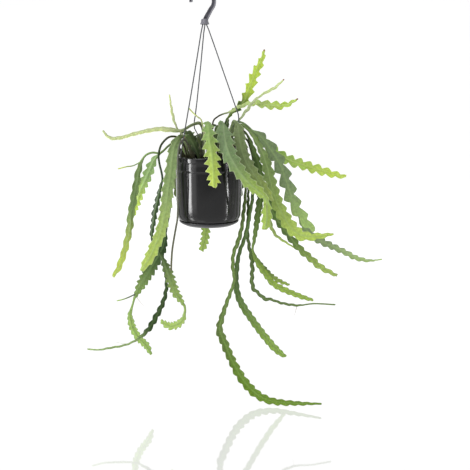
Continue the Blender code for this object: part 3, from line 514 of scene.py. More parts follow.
def saw_tooth(turn):
    """A sharp tooth that falls steeply after its point and rises slowly to the next one."""
    after = turn - math.floor(turn)
    return (1.0 - after / 0.3) ** 1.4 if after < 0.3 else ((after - 0.3) / 0.7) ** 1.25


def hooked_lobe(turn):
    """A broad lobe with a long straight rise, a rounded point and a short way back to the notch."""
    after = turn - math.floor(turn)
    rise = 1.0 - after / 0.36 if after < 0.36 else (after - 0.36) / 0.64
    return 1.0 - (1.0 - rise) ** 1.35


NOTCHES = {coarse_tooth: (2, 0.5), saw_tooth: (4, 0.31), hooked_lobe: (4, 0.36)}
cushions = []


def curve_between(values, spot):
    """The value at a spot between evenly spaced values, on a smooth curve through them."""
    i = min(int(spot), len(values) - 2)
    t = spot - i
    a, b, c, d = (values[min(max(i + k, 0), len(values) - 1)] for k in (-1, 0, 1, 2))
    return b + 0.5 * t * (c - a + t * (2.0 * a - 5.0 * b + 4.0 * c - d + t * (3.0 * (b - c) + d - a)))


def straight_between(x, xs, ys):
    """The value at x on the line through the points, carried on straight past both of its ends."""
    i = 0
    while i < len(xs) - 2 and x > xs[i + 1]:
        i += 1
    return ys[i] + (ys[i + 1] - ys[i]) * (x - xs[i]) / (xs[i + 1] - xs[i])


def heading(middle, i):
    """The way that the middle line goes at a spot on it."""
    after = curve_between(middle, min(i + 0.4, len(middle) - 1.0))
    return (after - curve_between(middle, max(i - 0.4, 0.0))).normalized()


def ease(low, high, value):
    """A smooth step from 0 at low to 1 at high."""
    share = min(max((value - low) / (high - low), 0.0), 1.0)
    return share * share * (3.0 - 2.0 * share)


def lay_course(route, face):
    """The stem's middle line every 3 mm with its widths, face directions and lengths from the foot."""
    middle, widths = [], []
    for i in range(len(route) - 1):
        pieces = max(2, round((Vector(route[i + 1][:3]) - Vector(route[i][:3])).length / COURSE_STEP))
        for k in range(pieces):
            x, y, z, width = (curve_between([point[axis] for point in route], i + k / pieces)
                              for axis in range(4))
            middle.append(Vector((x, y, z)))
            widths.append(max(width, 0.0))
    middle.append(Vector(route[-1][:3]))
    widths.append(float(route[-1][3]))
    hint = Vector(face).normalized()
    normal = hint.copy()
    normals, lengths = [], [0.0]
    for i in range(len(middle)):
        ahead = (middle[min(i + 1, len(middle) - 1)] - middle[max(i - 1, 0)]).normalized()
        normal = normal - ahead * normal.dot(ahead)
        pull = hint - ahead * hint.dot(ahead)
        if pull.dot(normal) < 0:
            pull = -pull
        normal = (normal.normalized() + FACE_PULL * pull).normalized()
        normals.append(normal.copy())
        if i:
            lengths.append(lengths[-1] + (middle[i] - middle[i - 1]).length)
    return middle, widths, normals, lengths


def mark_teeth(middle, widths, stalk, steps, pitches):
    """Where each part of a tooth falls: lengths along the stem, and the turn of the teeth there."""
    lengths, turns = [], []
    wait, length, count = 0.0, 0.0, 0
    for i, width in enumerate(widths):
        if i:
            wait -= (middle[i] - middle[i - 1]).length
            length += (middle[i] - middle[i - 1]).length
        if wait > 0 and i < len(widths) - 1:
            continue
        count += 1
        toothed = width > TOOTHED_FROM * stalk
        if toothed:
            turns.append(len(turns) / steps)
            lengths.append(length)
        pitch = pitches[0] + (pitches[1] - pitches[0]) * i / len(widths)
        bare_step = WIDE_MARKS if count > 2 else CLOSE_MARKS
        wait += pitch / steps if toothed else bare_step
    return lengths, turns


def grow_stem(name, route, face, stalk, tooth, pitches, valley, fold, young, bud, bark):
    """The skin of one stem as rings along its course, with its colour data and its spine cushions."""
    chance = random.Random(name)
    middle, widths, normals, lengths = lay_course(route, face)
    steps, notch = NOTCHES[tooth]
    mark_lengths, mark_turns = mark_teeth(middle, widths, stalk, steps, pitches)
    heights = [[chance.uniform(0.9, 1.0) for _ in range(VARIED_TEETH)] for _ in range(2)]
    tilts = [chance.uniform(-1.0, 1.0) for _ in range(VARIED_TEETH)]
    tint = chance.random()
    rooted = route[0][2] == ROOT_HEIGHTS[0]
    whole = lengths[-1]
    spots = [0.0]
    while spots[-1] < whole - TIP_ROUNDING:
        i = straight_between(spots[-1], lengths, range(len(lengths)))
        bladed = curve_between(widths, i) > BLADE_FROM * stalk
        spots.append(spots[-1] + (pitches[0] / RINGS_PER_TOOTH if bladed else STALK_RING_STEP))
    spots[-1] = whole - TIP_ROUNDING
    spots += [whole - TIP_ROUNDING * left for left in (0.8, 0.6, 0.42, 0.27, 0.14, 0.05, 0.01)]

    vertices, faces, flat = [], [], []
    data = {key: [] for key in ("youth", "rib", "rim", "bud", "bark", "tint")}
    count = len(ACROSS)
    around = list(range(count)) + list(range(count - 2, 0, -1))
    for length in spots:
        i = straight_between(length, lengths, range(len(lengths)))
        centre = curve_between(middle, i)
        ahead = heading(middle, i)
        normal = curve_between(normals, i)
        normal = (normal - ahead * normal.dot(ahead)).normalized()
        across = ahead.cross(normal)
        width = curve_between(widths, i)
        blade = ease(BLADE_FROM * stalk, FULL_BLADE_FROM * stalk, width)
        left = (whole - length) / TIP_ROUNDING
        taper = math.sqrt(max(0.0, 1.0 - (1.0 - left) ** 2)) if left < 1.0 else 1.0
        turn = straight_between(length, mark_lengths, mark_turns) if len(mark_turns) > 1 else 0.0
        stands, edges, notches = [], [], []
        for side in range(2):
            side_turn = turn + 0.5 * side
            stand = max(tooth(side_turn), 0.0) * heights[side][round(side_turn) % VARIED_TEETH]
            stands.append(stand)
            edges.append(max(width * (valley + (1.0 - valley) * stand), stalk) * taper)
            away = side_turn - notch
            notches.append(away - round(away))
        for number, spot in enumerate(around):
            u = ACROSS[spot]
            side = 0 if u > 0 else 1
            top = number < count
            x = abs(u) * edges[side]
            round_height = stalk * taper * math.sqrt(max(0.0, 1.0 - u * u))
            rim_height = math.sqrt(max(0.0, 1.0 - abs(u) ** 6))
            ridge_away = (notches[side] + RIDGE_SLANT * (1.0 - abs(u))) / RIDGE_WIDTH
            ridge = RIDGE_HEIGHT * math.exp(-ridge_away * ridge_away) * abs(u) * (1.0 - abs(u) ** 4)
            rib = (stalk * RIB_SHARE - MARGIN) * math.exp(-(x / RIB_REACH) ** 2)
            flat_height = (MARGIN + rib + ridge) * rim_height
            height = round_height + (flat_height * min(1.0, taper * 1.2) - round_height) * blade
            tilt = tilts[round(turn + 0.5 * side) % VARIED_TEETH]
            sway = math.sin(turn * math.pi + tint * 6.0) * WAVE + tilt * TILT
            lift = blade * x * (fold + sway * abs(u))
            lean = blade * TOOTH_LEAN * stands[side] * abs(u) ** 1.6 * taper
            sideways = x if side == 0 else -x
            raised = lift + (height if top else -height)
            point = centre + across * sideways + ahead * lean + normal * raised
            vertices.append((RIM_CENTRE + point) * MM)
            flat.append((sideways / MAP_UNIT, length / MAP_UNIT))
            margin_away = (1.0 - abs(u)) * edges[side]
            data["youth"].append(ease(young[0], young[1], length / whole))
            data["rib"].append(math.exp(-(x / RIB_LINE) ** 2) * blade)
            data["rim"].append(math.exp(-(margin_away / RIM_LINE) ** 2) * blade)
            data["bud"].append(ease(whole - bud, whole - bud * 0.25, length))
            data["bark"].append(ease(bark[1], bark[0], length / whole) if rooted else 0.0)
            data["tint"].append(tint)
    ring = len(around)
    for row in range(len(spots) - 1):
        for k in range(ring):
            a, b = row * ring + k, row * ring + (k + 1) % ring
            faces.append((a, b, b + ring, a + ring))
    for centre, row in ((middle[0], 0), (middle[-1], len(spots) - 1)):
        vertices.append((RIM_CENTRE + centre) * MM)
        flat.append((0.0, whole / MAP_UNIT if row else 0.0))
        for values in data.values():
            values.append(values[row * ring + count // 2])
        for k in range(ring):
            a, b = row * ring + k, row * ring + (k + 1) % ring
            faces.append((a, b, len(vertices) - 1))
    mesh = bpy.data.meshes.new(name)
    mesh.from_pydata(vertices, [], faces)
    corners = [0] * len(mesh.loops)
    mesh.loops.foreach_get("vertex_index", corners)
    unrolled = [value for corner in corners for value in flat[corner]]
    mesh.uv_layers.new(name="UVMap").data.foreach_set("uv", unrolled)
    for key, values in data.items():
        mesh.attributes.new(key, "FLOAT", "POINT").data.foreach_set("value", values)
    stem = bpy.data.objects.new(name, mesh)
    bpy.context.collection.objects.link(stem)

    if len(mark_turns) > 1:
        for side in range(2):
            for k in range(math.ceil(mark_turns[-1]) + 2):
                turn = k + notch - 0.5 * side
                length = straight_between(turn, mark_turns, mark_lengths)
                if not mark_lengths[0] - 4.0 < length < whole - 5.0:
                    continue
                i = straight_between(length, lengths, range(len(lengths)))
                width = curve_between(widths, i)
                if width < TOOTHED_FROM * stalk:
                    continue
                ahead, normal = heading(middle, i), curve_between(normals, i)
                across = ahead.cross(normal).normalized()
                edge = max(width * valley, stalk)
                out = across if side == 0 else -across
                spot = curve_between(middle, i) + out * edge + normal * fold * edge
                cushions.append((spot, (out + ahead * 0.5).normalized(), normal, width))
    return stem


stem_feet = []


def stem(name, base, route, face, skin, slot, stalk=STALK_RADIUS, tooth=coarse_tooth, pitches=(21.0, 20.0),
         valley=0.5, fold=0.12, young=(0.45, 1.0), bud=0.8, bark=(0.1, 0.3), side_stems=()):
    """A whole stem with its side stems joined on, finished and in place of the model's stem."""
    stem_feet.append((*base, stalk))
    route = [(*base, height, 0) for height in ROOT_HEIGHTS] + route
    parts = [grow_stem(name + "_skin", route, face, stalk, tooth, pitches, valley, fold, young, bud, bark)]
    for number, (side_route, side_face, side_stalk, side_pitches, side_valley) in enumerate(side_stems):
        parts.append(grow_stem(name + "_side_" + str(number), side_route, side_face, side_stalk, coarse_tooth,
                               side_pitches, side_valley, fold, (0.3, 1.0), bud, bark))
    bpy.ops.object.select_all(action="DESELECT")
    for part in parts:
        part.select_set(True)
    bpy.context.view_layer.objects.active = parts[0]
    if len(parts) > 1:
        bpy.ops.object.join()
    whole = bpy.context.object
    whole.data.materials.append(skin)
    settle(whole, 70.0)
    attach(whole, "root")
    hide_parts(name)


def waxy_skin(name, old, young, rim, rib, gloss=(0.36, 0.5), tip="#8a5a44"):
    """A skin of waxy plant tissue: old and young colours, a margin line and a midrib, streaked lengthwise."""
    material, tree = finish(name)
    cover = node(tree, "ShaderNodeUVMap", uv_map="UVMap")
    ages = {key: node(tree, "ShaderNodeAttribute", attribute_name=key)
            for key in ("youth", "rib", "rim", "bud", "bark", "tint")}
    lengthwise = node(tree, "ShaderNodeMapping", {"Vector": (cover, "UV"), "Scale": (1.0, 0.1, 1.0)})
    # Streaks about 1.5 mm wide and mottles of 3 to 8 mm; the fine cells of the skin are drawn 0.8 mm wide
    streaks = noise(tree, (lengthwise, "Vector"), 70.0, 4.0)
    mottles = noise(tree, (cover, "UV"), 16.0, 5.0, Roughness=0.6)
    cells = node(tree, "ShaderNodeTexVoronoi", {"Vector": (cover, "UV"), "Scale": 120.0})
    aged = node(tree, "ShaderNodeMixRGB", {"Fac": (ages["youth"], "Fac"), "Color1": linear(old),
                                           "Color2": linear(young)})
    patch = remap(tree, (mottles, "Fac"), 0.76, 1.2, 0.3, 0.7)
    streak = remap(tree, (streaks, "Fac"), 0.88, 1.1, 0.3, 0.7)
    shade = node(tree, "ShaderNodeMath", {0: (patch, "Result"), 1: (streak, "Result")}, operation="MULTIPLY")
    hue = remap(tree, (ages["tint"], "Fac"), 0.487, 0.513)
    varied = node(tree, "ShaderNodeHueSaturation", {"Color": (aged, "Color"), "Value": (shade, "Value"),
                                                    "Hue": (hue, "Result")})
    ribbed = node(tree, "ShaderNodeMath", {0: (ages["rib"], "Fac"), 1: 0.55}, operation="MULTIPLY")
    with_rib = node(tree, "ShaderNodeMixRGB", {"Fac": (ribbed, "Value"), "Color1": (varied, "Color"),
                                               "Color2": linear(rib)})
    # Where a skin's margin colour is darker than its blade, this line is painted shade along the thick edge;
    # a pale margin colour is the margin's own
    lined = node(tree, "ShaderNodeMath", {0: (ages["rim"], "Fac"), 1: 0.8}, operation="MULTIPLY")
    with_rim = node(tree, "ShaderNodeMixRGB", {"Fac": (lined, "Value"), "Color1": (with_rib, "Color"),
                                               "Color2": linear(rim)})
    with_tip = node(tree, "ShaderNodeMixRGB", {"Fac": (ages["bud"], "Fac"), "Color1": (with_rim, "Color"),
                                               "Color2": linear(tip)})
    corky = node(tree, "ShaderNodeMixRGB", {"Fac": (ages["bark"], "Fac"), "Color1": (with_tip, "Color"),
                                            "Color2": linear("#39381f")})
    wax = remap(tree, (mottles, "Fac"), gloss[0], gloss[1], 0.3, 0.7)
    skin_relief = bump(tree, (streaks, "Fac"), 0.35, 0.0004)
    cell_relief = bump(tree, (cells, "Distance"), 0.12, 0.0002, Normal=(skin_relief, "Normal"))
    surface(tree, {
        "Base Color": (corky, "Color"), "Roughness": (wax, "Result"), "IOR": 1.42,
        "Subsurface Weight": 0.12, "Subsurface Radius": (0.5, 1.0, 0.2), "Subsurface Scale": 0.0015,
        "Normal": (cell_relief, "Normal")})
    return material


# Front stems
# Short, broad stems that fall over the front of the rim: a pale green one with sharp saw teeth and a
# thin whitish margin, and two grey-green ones with a bloom of wax. A bare young spike stands behind them.
front_skin = waxy_skin("pale_waxy_stem_skin", "#80a05a", "#b4ca54", "#d4e2aa", "#9db86c")
grey_skin = waxy_skin("bloomed_grey_green_stem_skin", "#748b5c", "#a2ba52", "#bccaa2", "#97ab7c",
                      (0.42, 0.56))
duller_skin = waxy_skin("duller_grey_green_stem_skin", "#6c8050", "#9ab254", "#a4b48a", "#869a66",
                        (0.42, 0.56))
pale_skin = waxy_skin("young_pale_stem_skin", "#97a67a", "#c3d182", "#d2dca8", "#b9c696")

stem("stem_front", (-2, -38), [
    (-1, -42, 40, 0), (1, -52, 74, 8), (2, -70, 68, 15), (4, -84, 52, 18), (6, -89, 38, 19),
    (10, -90, 15, 20), (12, -90, -12, 19), (14, -88, -37, 17), (14, -87, -52, 13), (14, -86, -59, 4),
], FRONT, front_skin, "stem_mid_green", tooth=saw_tooth, pitches=(26, 14), valley=0.42,
   young=(0.5, 1.0))
stem("stem_front_right_long", (18, -30), [
    (24, -32, 40, 0), (30, -38, 74, 7), (33, -52, 67, 15), (35, -68, 53, 20), (39, -80, 33, 21),
    (46, -88, 11, 20), (58, -92, -11, 18), (73, -94, -32, 16), (90, -96, -51, 15), (108, -96, -67, 13),
    (119, -94, -77, 8), (124, -92, -89, 8), (125, -88, -106, 13), (125, -84, -128, 13), (122, -80, -150, 8),
], FRONT, grey_skin, "stem_mid_green", tooth=saw_tooth, pitches=(22, 20), valley=0.6,
   young=(0.5, 0.85))
stem("stem_front_right_broad", (32, -26), [
    (42, -30, 40, 0), (54, -38, 74, 4), (62, -44, 70, 9), (66, -50, 56, 15), (68, -56, 38, 16),
    (73, -62, 13, 16), (82, -67, -9, 16), (96, -73, -30, 15), (112, -78, -53, 14), (126, -80, -72, 11),
    (137, -80, -89, 3),
], FRONT, duller_skin, "stem_mid_green", tooth=saw_tooth, pitches=(22, 18), valley=0.62,
   young=(0.65, 1.1))
stem("stem_young_spike", (-8, -16), [
    (-9, -15, 40, 0), (-14, -13, 76, 0), (-24, -10, 86, 0), (-34, -8, 95, 0), (-42, -6, 104, 0),
], FRONT, pale_skin, "stem_pale_green", stalk=1.6)

# Right stems
# A long zigzag stem with round lobes and margins drawn darker as painted shade, a slim lime one that reaches
# far out, a grey one that turns up at its end, and a dark narrow one behind them. Two carry thin side stems.
zigzag_skin = waxy_skin("greyish_green_stem_skin", "#7c8e62", "#a8c070", "#5c6e46", "#92ac6c")
full_skin = waxy_skin("mature_green_stem_skin", "#70844c", "#8aa058", "#52663a", "#8b9e66")
ripening_skin = waxy_skin("green_to_lime_stem_skin", "#738a4e", "#b2ca58", "#8aa25c", "#92a968")
lime_skin = waxy_skin("young_lime_stem_skin", "#7fa63c", "#bfd84c", "#d3e08a", "#b0c46c")
turning_skin = waxy_skin("dark_to_lime_stem_skin", "#587238", "#a9c060", "#5c7540", "#7c9458")
# The shaded skin's darker greens are painted shade, for stems that hang behind and under the others
shade_skin = waxy_skin("shaded_dark_stem_skin", "#4c612d", "#6b8440", "#4e6332", "#70854e", (0.34, 0.46))

stem("stem_right_zigzag", (36, -2), [
    (44, -2, 40, 0), (58, -1, 72, 0), (72, 0, 73, 0), (84, 0, 66, 0), (95, -1, 56, 5), (106, -3, 49, 10),
    (119, -6, 37, 15), (132, -8, 20, 17), (145, -10, 1, 18), (157, -12, -19, 18), (166, -14, -41, 18),
    (174, -17, -64, 18), (182, -19, -89, 18), (192, -21, -110, 17), (206, -24, -132, 15),
    (220, -26, -149, 12), (232, -28, -164, 4),
], FRONT, zigzag_skin, "stem_mid_green", tooth=hooked_lobe, pitches=(32, 34), valley=0.36,
   young=(0.68, 0.98), side_stems=[
    ([
        (187, -20, -98, 0), (196, -4, -124, 0), (209, 8, -152, 7), (226, 16, -175, 10), (253, 26, -195, 10),
        (283, 36, -211, 9), (314, 48, -227, 8), (342, 60, -243, 7), (375, 70, -252, 4), (408, 80, -251, 0),
    ], FRONT, 1.6, (21.0, 20.0), 0.5),
])
stem("stem_right_lime", (40, 8), [
    (50, 9, 36, 0), (64, 10, 66, 0), (80, 14, 64, 0), (96, 19, 52, 4), (109, 24, 43, 10), (132, 30, 20, 13),
    (150, 40, 5, 14), (169, 50, -7, 14), (189, 63, -17, 14), (212, 76, -25, 14), (240, 88, -35, 14),
    (269, 100, -44, 12), (298, 109, -53, 9), (322, 118, -58, 4),
], FRONT, lime_skin, "stem_lime", pitches=(26, 26), valley=0.38)
stem("stem_right_grey", (38, -16), [
    (48, -15, 40, 0), (62, -12, 66, 0), (75, -11, 66, 0), (93, -16, 50, 4), (109, -22, 25, 7),
    (120, -30, 2, 11), (129, -37, -27, 14), (135, -45, -56, 15), (144, -52, -84, 15), (152, -60, -104, 15),
    (163, -68, -125, 16), (177, -76, -145, 16), (194, -84, -159, 14), (215, -92, -163, 10),
    (239, -98, -160, 7), (265, -104, -155, 2),
], FRONT, ripening_skin, "stem_mid_green", pitches=(20, 22), valley=0.6, side_stems=[
    ([
        (134, -46, -55, 0), (130, -50, -79, 0), (129, -54, -103, 0), (131, -54, -123, 4),
        (136, -52, -147, 5), (147, -46, -168, 4), (168, -38, -185, 3), (193, -30, -202, 1),
    ], FRONT, 1.6, (21.0, 20.0), 0.5),
])
stem("stem_right_dark", (52, -9), [
    (60, -9, 30, 0), (70, -8, 50, 0), (80, -7, 50, 0), (88, -7, 41, 3), (97, -9, 19, 6), (106, -12, -6, 8),
    (113, -16, -34, 9), (121, -20, -72, 9), (135, -23, -110, 10), (148, -27, -132, 10),
    (163, -30, -153, 10), (181, -34, -177, 10), (201, -39, -201, 9), (223, -43, -220, 9),
    (247, -48, -240, 8), (282, -52, -258, 4),
], FRONT, turning_skin, "stem_old_green", young=(0.7, 1.0))

# Trailing stems
# The oldest stems: long bare brown-green stalks that run down beside the pot and widen into dark
# blades far below it. The longest is folded along its midrib like a gutter.
trailing_skin = waxy_skin("old_trailing_stem_skin", "#557030", "#98b448", "#4e6634", "#728c4c")
longest_skin = waxy_skin("deepening_trailing_stem_skin", "#5c743a", "#64881e", "#7c8a3a", "#7fa24e")

stem("stem_trailing_longest", (60, 12), [
    (64, 11, 14, 0), (68, 10, 30, 0), (74, 8, 33, 0), (79, 7, 22, 0), (82, 6, -9, 0), (81, 4, -87, 4),
    (77, 2, -125, 5), (74, 2, -154, 5), (66, 2, -189, 6), (55, 2, -219, 5), (53, 2, -249, 5),
    (56, 4, -282, 4), (48, 6, -311, 5), (36, 7, -345, 6), (26, 8, -378, 8), (22, 10, -396, 9),
    (25, 12, -414, 11), (32, 12, -431, 11), (40, 10, -452, 11), (51, 8, -476, 11), (64, 2, -501, 12),
    (79, -6, -522, 12), (98, -14, -541, 12), (118, -24, -553, 11), (150, -34, -560, 9), (199, -48, -558, 6),
    (254, -64, -553, 2),
], FRONT, longest_skin, "stem_dark_green", valley=0.6, fold=0.5, young=(0.55, 0.85))
stem("stem_trailing_second", (52, 20), [
    (58, 21, 12, 0), (66, 22, 34, 0), (76, 22, 40, 0), (86, 21, 32, 0), (92, 20, 16, 0), (98, 18, -10, 0),
    (99, 16, -55, 4), (97, 14, -95, 5), (92, 14, -127, 5), (86, 14, -161, 6), (78, 16, -192, 6),
    (68, 18, -220, 6), (63, 20, -248, 7), (60, 23, -287, 8), (64, 26, -322, 9), (76, 35, -353, 10),
    (98, 44, -389, 10), (120, 55, -423, 10), (145, 66, -458, 10), (167, 75, -483, 8), (183, 84, -496, 3),
], (0.5, -0.87, 0.0), trailing_skin, "stem_old_green", valley=0.7, young=(0.6, 1.0))
stem("stem_trailing_forked", (54, 2), [
    (62, 3, 30, 0), (70, 4, 54, 0), (80, 4, 52, 0), (88, 3, 38, 0), (95, 0, 10, 0), (104, -2, -17, 5),
    (112, -4, -53, 8), (115, -4, -86, 9), (112, -4, -108, 9), (108, -2, -138, 8), (104, 0, -170, 6),
    (100, 2, -196, 4), (98, 2, -212, 3), (103, 2, -228, 6), (115, 0, -249, 8), (129, -5, -268, 8),
    (144, -10, -286, 8), (164, -17, -297, 8), (186, -24, -305, 7), (211, -31, -313, 6), (233, -38, -318, 3),
], FRONT, trailing_skin, "stem_dark_green", pitches=(18, 15), valley=0.65, side_stems=[
    ([
        (98, 2, -208, 0), (102, 9, -224, 2), (110, 14, -237, 4), (124, 22, -257, 6), (142, 32, -279, 7),
        (163, 42, -295, 6), (186, 50, -306, 3),
    ], FRONT, 1.6, (15, 13), 0.5),
])
stem("stem_trailing_thin", (44, 30), [
    (52, 32, 14, 0), (64, 34, 36, 0), (76, 34, 34, 0), (84, 32, 16, 0), (87, 30, -20, 0), (88, 26, -100, 4),
    (87, 25, -165, 4), (89, 25, -200, 5), (95, 26, -230, 6), (98, 28, -259, 6), (97, 30, -288, 6),
    (101, 34, -310, 6), (112, 38, -322, 5), (127, 44, -337, 6), (145, 50, -342, 4), (165, 56, -351, 4),
    (188, 64, -358, 4), (213, 71, -362, 3), (249, 78, -360, 0), (301, 86, -365, 0),
], FRONT, shade_skin, "stem_dark_green", stalk=1.8)

# Top stems
# Young shoots that stand above the crown: a toothed lime one with a red-brown bud, a slim pale one, and
# one that arches to the right with its lobes hanging.
bud_skin = waxy_skin("toothed_shoot_skin", "#33521c", "#b0d04c", "#cfdf8c", "#a2bb68")
arching_skin = waxy_skin("pale_shoot_skin_with_lime_lobes", "#b4c88e", "#9cbe2c", "#c2d470", "#b6cc80")

stem("stem_top_bud", (20, 18), [
    (26, 22, 40, 0), (36, 25, 70, 2), (48, 26, 90, 6), (65, 26, 104, 10), (79, 28, 119, 13),
    (86, 30, 135, 14), (93, 32, 153, 14), (101, 37, 174, 14), (111, 42, 195, 11), (119, 47, 214, 7),
    (123, 52, 231, 2),
], FRONT, bud_skin, "stem_lime", tooth=saw_tooth, pitches=(28, 19), valley=0.42, bud=7.0,
   young=(0.52, 0.7))
stem("stem_top_pale", (36, 20), [
    (44, 20, 34, 0), (56, 19, 62, 2), (68, 15, 78, 3), (78, 8, 92, 4), (87, 1, 103, 5), (97, -5, 117, 4),
    (110, -12, 128, 3), (126, -19, 138, 4), (140, -26, 145, 4), (151, -35, 154, 3), (161, -44, 164, 1),
], FRONT, pale_skin, "stem_pale_green", stalk=1.6, bud=5.0)
stem("stem_top_arching", (4, 12), [
    (6, 10, 40, 0), (10, 9, 74, 0), (20, 9, 85, 0), (32, 9, 91, 0), (46, 9, 95, 3), (62, 9, 104, 5),
    (84, 12, 112, 6), (106, 10, 114, 9), (127, 6, 111, 11), (147, -2, 109, 11), (166, -10, 110, 8),
    (180, -20, 116, 5), (192, -30, 124, 1),
], FRONT, arching_skin, "stem_lime", stalk=1.8, pitches=(22, 21), valley=0.35, bud=6.0,
   bark=(0.4, 0.5))

# Left stems
# A level pale stem that lies nearly flat, a small upright one, a broad one over the rim, wiry bare
# stalks, a forked pair, and two long dark ones that wind down and end in bright young growth.
broad_skin = waxy_skin("mottled_pale_green_stem_skin", "#7e9860", "#a6c05a", "#b6c894", "#97ae72")
# Its dark old colour over its first third is painted shade, for the part that lies in the crown under the
# other stems
level_skin = waxy_skin("pale_stem_skin_on_a_dark_foot", "#2e4416", "#b0be82", "#d2dca8", "#b9c696")
dry_skin = waxy_skin("dry_grey_brown_stalk_skin", "#5a5c50", "#68694e", "#55584a", "#666a58")
forked_skin = waxy_skin("light_green_to_lime_stem_skin", "#86a462", "#cce058", "#a0b878", "#acc88c")
deep_skin = waxy_skin("deep_green_to_lime_stem_skin", "#2a421c", "#a6c064", "#4c6a34", "#64804a")
tailed_skin = waxy_skin("dark_stem_skin_with_a_pale_tail", "#2c4216", "#a4ba76", "#3c5224", "#4a6230")

stem("stem_left_level", (-12, 4), [
    (-12, 3, 40, 0), (-16, 1, 68, 4), (-30, -3, 70, 4), (-46, -7, 62, 4), (-59, -9, 56, 5),
    (-74, -10, 57, 8), (-92, -8, 59, 9), (-112, 0, 59, 9), (-135, 10, 55, 9), (-152, 20, 51, 9),
    (-172, 31, 46, 9), (-191, 42, 40, 8), (-217, 50, 36, 6), (-232, 58, 41, 4), (-243, 66, 53, 1),
], (0.1, -0.65, 0.75), level_skin, "stem_pale_green", valley=0.75, fold=-0.1, young=(0.36, 0.52))
stem("stem_left_upright", (-36, 10), [
    (-44, 9, 22, 0), (-56, 8, 44, 0), (-66, 8, 56, 2), (-72, 9, 66, 3), (-78, 14, 84, 4), (-83, 24, 108, 3),
    (-87, 34, 133, 1),
], FRONT, pale_skin, "stem_pale_green", stalk=1.6)
stem("stem_left_broad", (-32, -20), [
    (-40, -18, 24, 0), (-50, -17, 40, 3), (-60, -24, 42, 7), (-67, -36, 34, 11), (-72, -46, 20, 13),
    (-75, -54, 0, 14), (-78, -58, -25, 15), (-82, -60, -51, 15), (-86, -60, -74, 15), (-89, -60, -98, 15),
    (-93, -61, -119, 14), (-98, -62, -144, 14), (-105, -62, -167, 14), (-114, -62, -187, 14),
    (-123, -63, -207, 14), (-133, -64, -224, 12), (-146, -64, -244, 4),
], FRONT, broad_skin, "stem_mid_green", tooth=saw_tooth, pitches=(20, 22), valley=0.68)
stem("stem_left_wiry", (-34, -36), [
    (-40, -42, 20, 0), (-48, -52, 38, 0), (-56, -61, 34, 0), (-61, -66, 14, 0), (-63, -67, -12, 0),
    (-63, -67, -60, 0), (-64, -64, -100, 0), (-66, -58, -130, 0), (-71, -50, -155, 0), (-79, -44, -198, 0),
    (-82, -42, -229, 0), (-83, -40, -250, 0),
], FRONT, dry_skin, "stem_dark_green", stalk=2.1)
stem("stem_left_forked", (-54, -2), [
    (-60, -3, 8, 0), (-68, -5, 24, 0), (-78, -8, 28, 0), (-88, -11, 22, 0), (-104, -16, 8, 0),
    (-121, -20, 9, 0), (-133, -24, 5, 1), (-141, -26, -3, 3), (-146, -28, -13, 6), (-150, -29, -26, 9),
    (-154, -30, -41, 10), (-157, -32, -58, 11), (-161, -35, -79, 11), (-165, -38, -101, 11),
    (-169, -40, -122, 11), (-171, -45, -144, 11), (-174, -50, -165, 10), (-179, -55, -186, 10),
    (-185, -60, -209, 10), (-194, -65, -234, 9), (-207, -70, -256, 4),
], (0.7, -0.7, 0.0), forked_skin, "stem_mid_green", pitches=(24, 25), valley=0.62,
   young=(0.6, 0.95), side_stems=[
    ([
        (-99, -14, 12, 0), (-108, -9, 4, 3), (-118, -6, -6, 8), (-126, -4, -21, 12), (-134, 0, -39, 13),
        (-142, 4, -55, 13), (-152, 8, -75, 13), (-159, 12, -93, 12), (-166, 17, -111, 11),
        (-173, 22, -130, 8), (-179, 26, -150, 1),
    ], FRONT, STALK_RADIUS, (21, 12), 0.5),
    ([
        (-144, -27, -9, 0), (-161, -33, -18, 0), (-176, -40, -20, 0), (-193, -48, -24, 0),
    ], FRONT, 1.3, (21.0, 20.0), 0.5),
])
stem("stem_left_winding", (-46, -12), [
    (-52, -13, 20, 0), (-60, -16, 36, 0), (-70, -19, 43, 0), (-83, -22, 43, 0), (-93, -24, 36, 0),
    (-101, -26, 26, 0), (-105, -28, 15, 0), (-107, -30, 2, 0), (-105, -32, -15, 0), (-101, -34, -32, 0),
    (-99, -36, -48, 2), (-103, -36, -64, 5), (-108, -36, -84, 7), (-112, -36, -102, 8),
    (-117, -36, -121, 8), (-120, -36, -141, 7), (-124, -36, -161, 6), (-124, -34, -179, 4),
    (-117, -30, -200, 3), (-106, -26, -219, 5), (-98, -24, -238, 11), (-90, -24, -259, 14),
    (-83, -24, -282, 14), (-76, -24, -302, 13), (-66, -24, -319, 9), (-57, -24, -334, 4),
    (-55, -22, -350, 4), (-60, -18, -368, 8), (-72, -14, -381, 11), (-87, -10, -387, 11),
    (-101, -8, -383, 9), (-112, -6, -374, 3),
], (-0.3, -0.95, 0.0), deep_skin, "stem_old_green", pitches=(20, 10), young=(0.55, 0.97))
stem("stem_left_dark", (-58, 10), [
    (-63, 9, 4, 0), (-70, 6, 13, 0), (-78, 3, 11, 0), (-83, -2, -4, 0), (-84, -6, -30, 0),
    (-83, -8, -63, 0), (-84, -8, -97, 0), (-89, -10, -134, 2), (-96, -12, -163, 4), (-100, -12, -191, 9),
    (-109, -12, -215, 13), (-124, -12, -239, 15), (-139, -12, -264, 15), (-155, -7, -291, 12),
    (-170, -2, -321, 4), (-178, 6, -343, 3), (-185, 14, -364, 6), (-185, 20, -382, 9), (-181, 26, -404, 10),
    (-172, 30, -424, 10), (-161, 33, -439, 10), (-151, 36, -452, 9), (-142, 40, -475, 3),
], FRONT, deep_skin, "stem_dark_green", pitches=(17, 12), valley=0.6, young=(0.45, 0.9), side_stems=[
    ([
        (-165, -4, -311, 0), (-181, -5, -319, 0), (-196, -5, -325, 0), (-212, -5, -329, 0),
    ], FRONT, 1.4, (21.0, 20.0), 0.5),
])
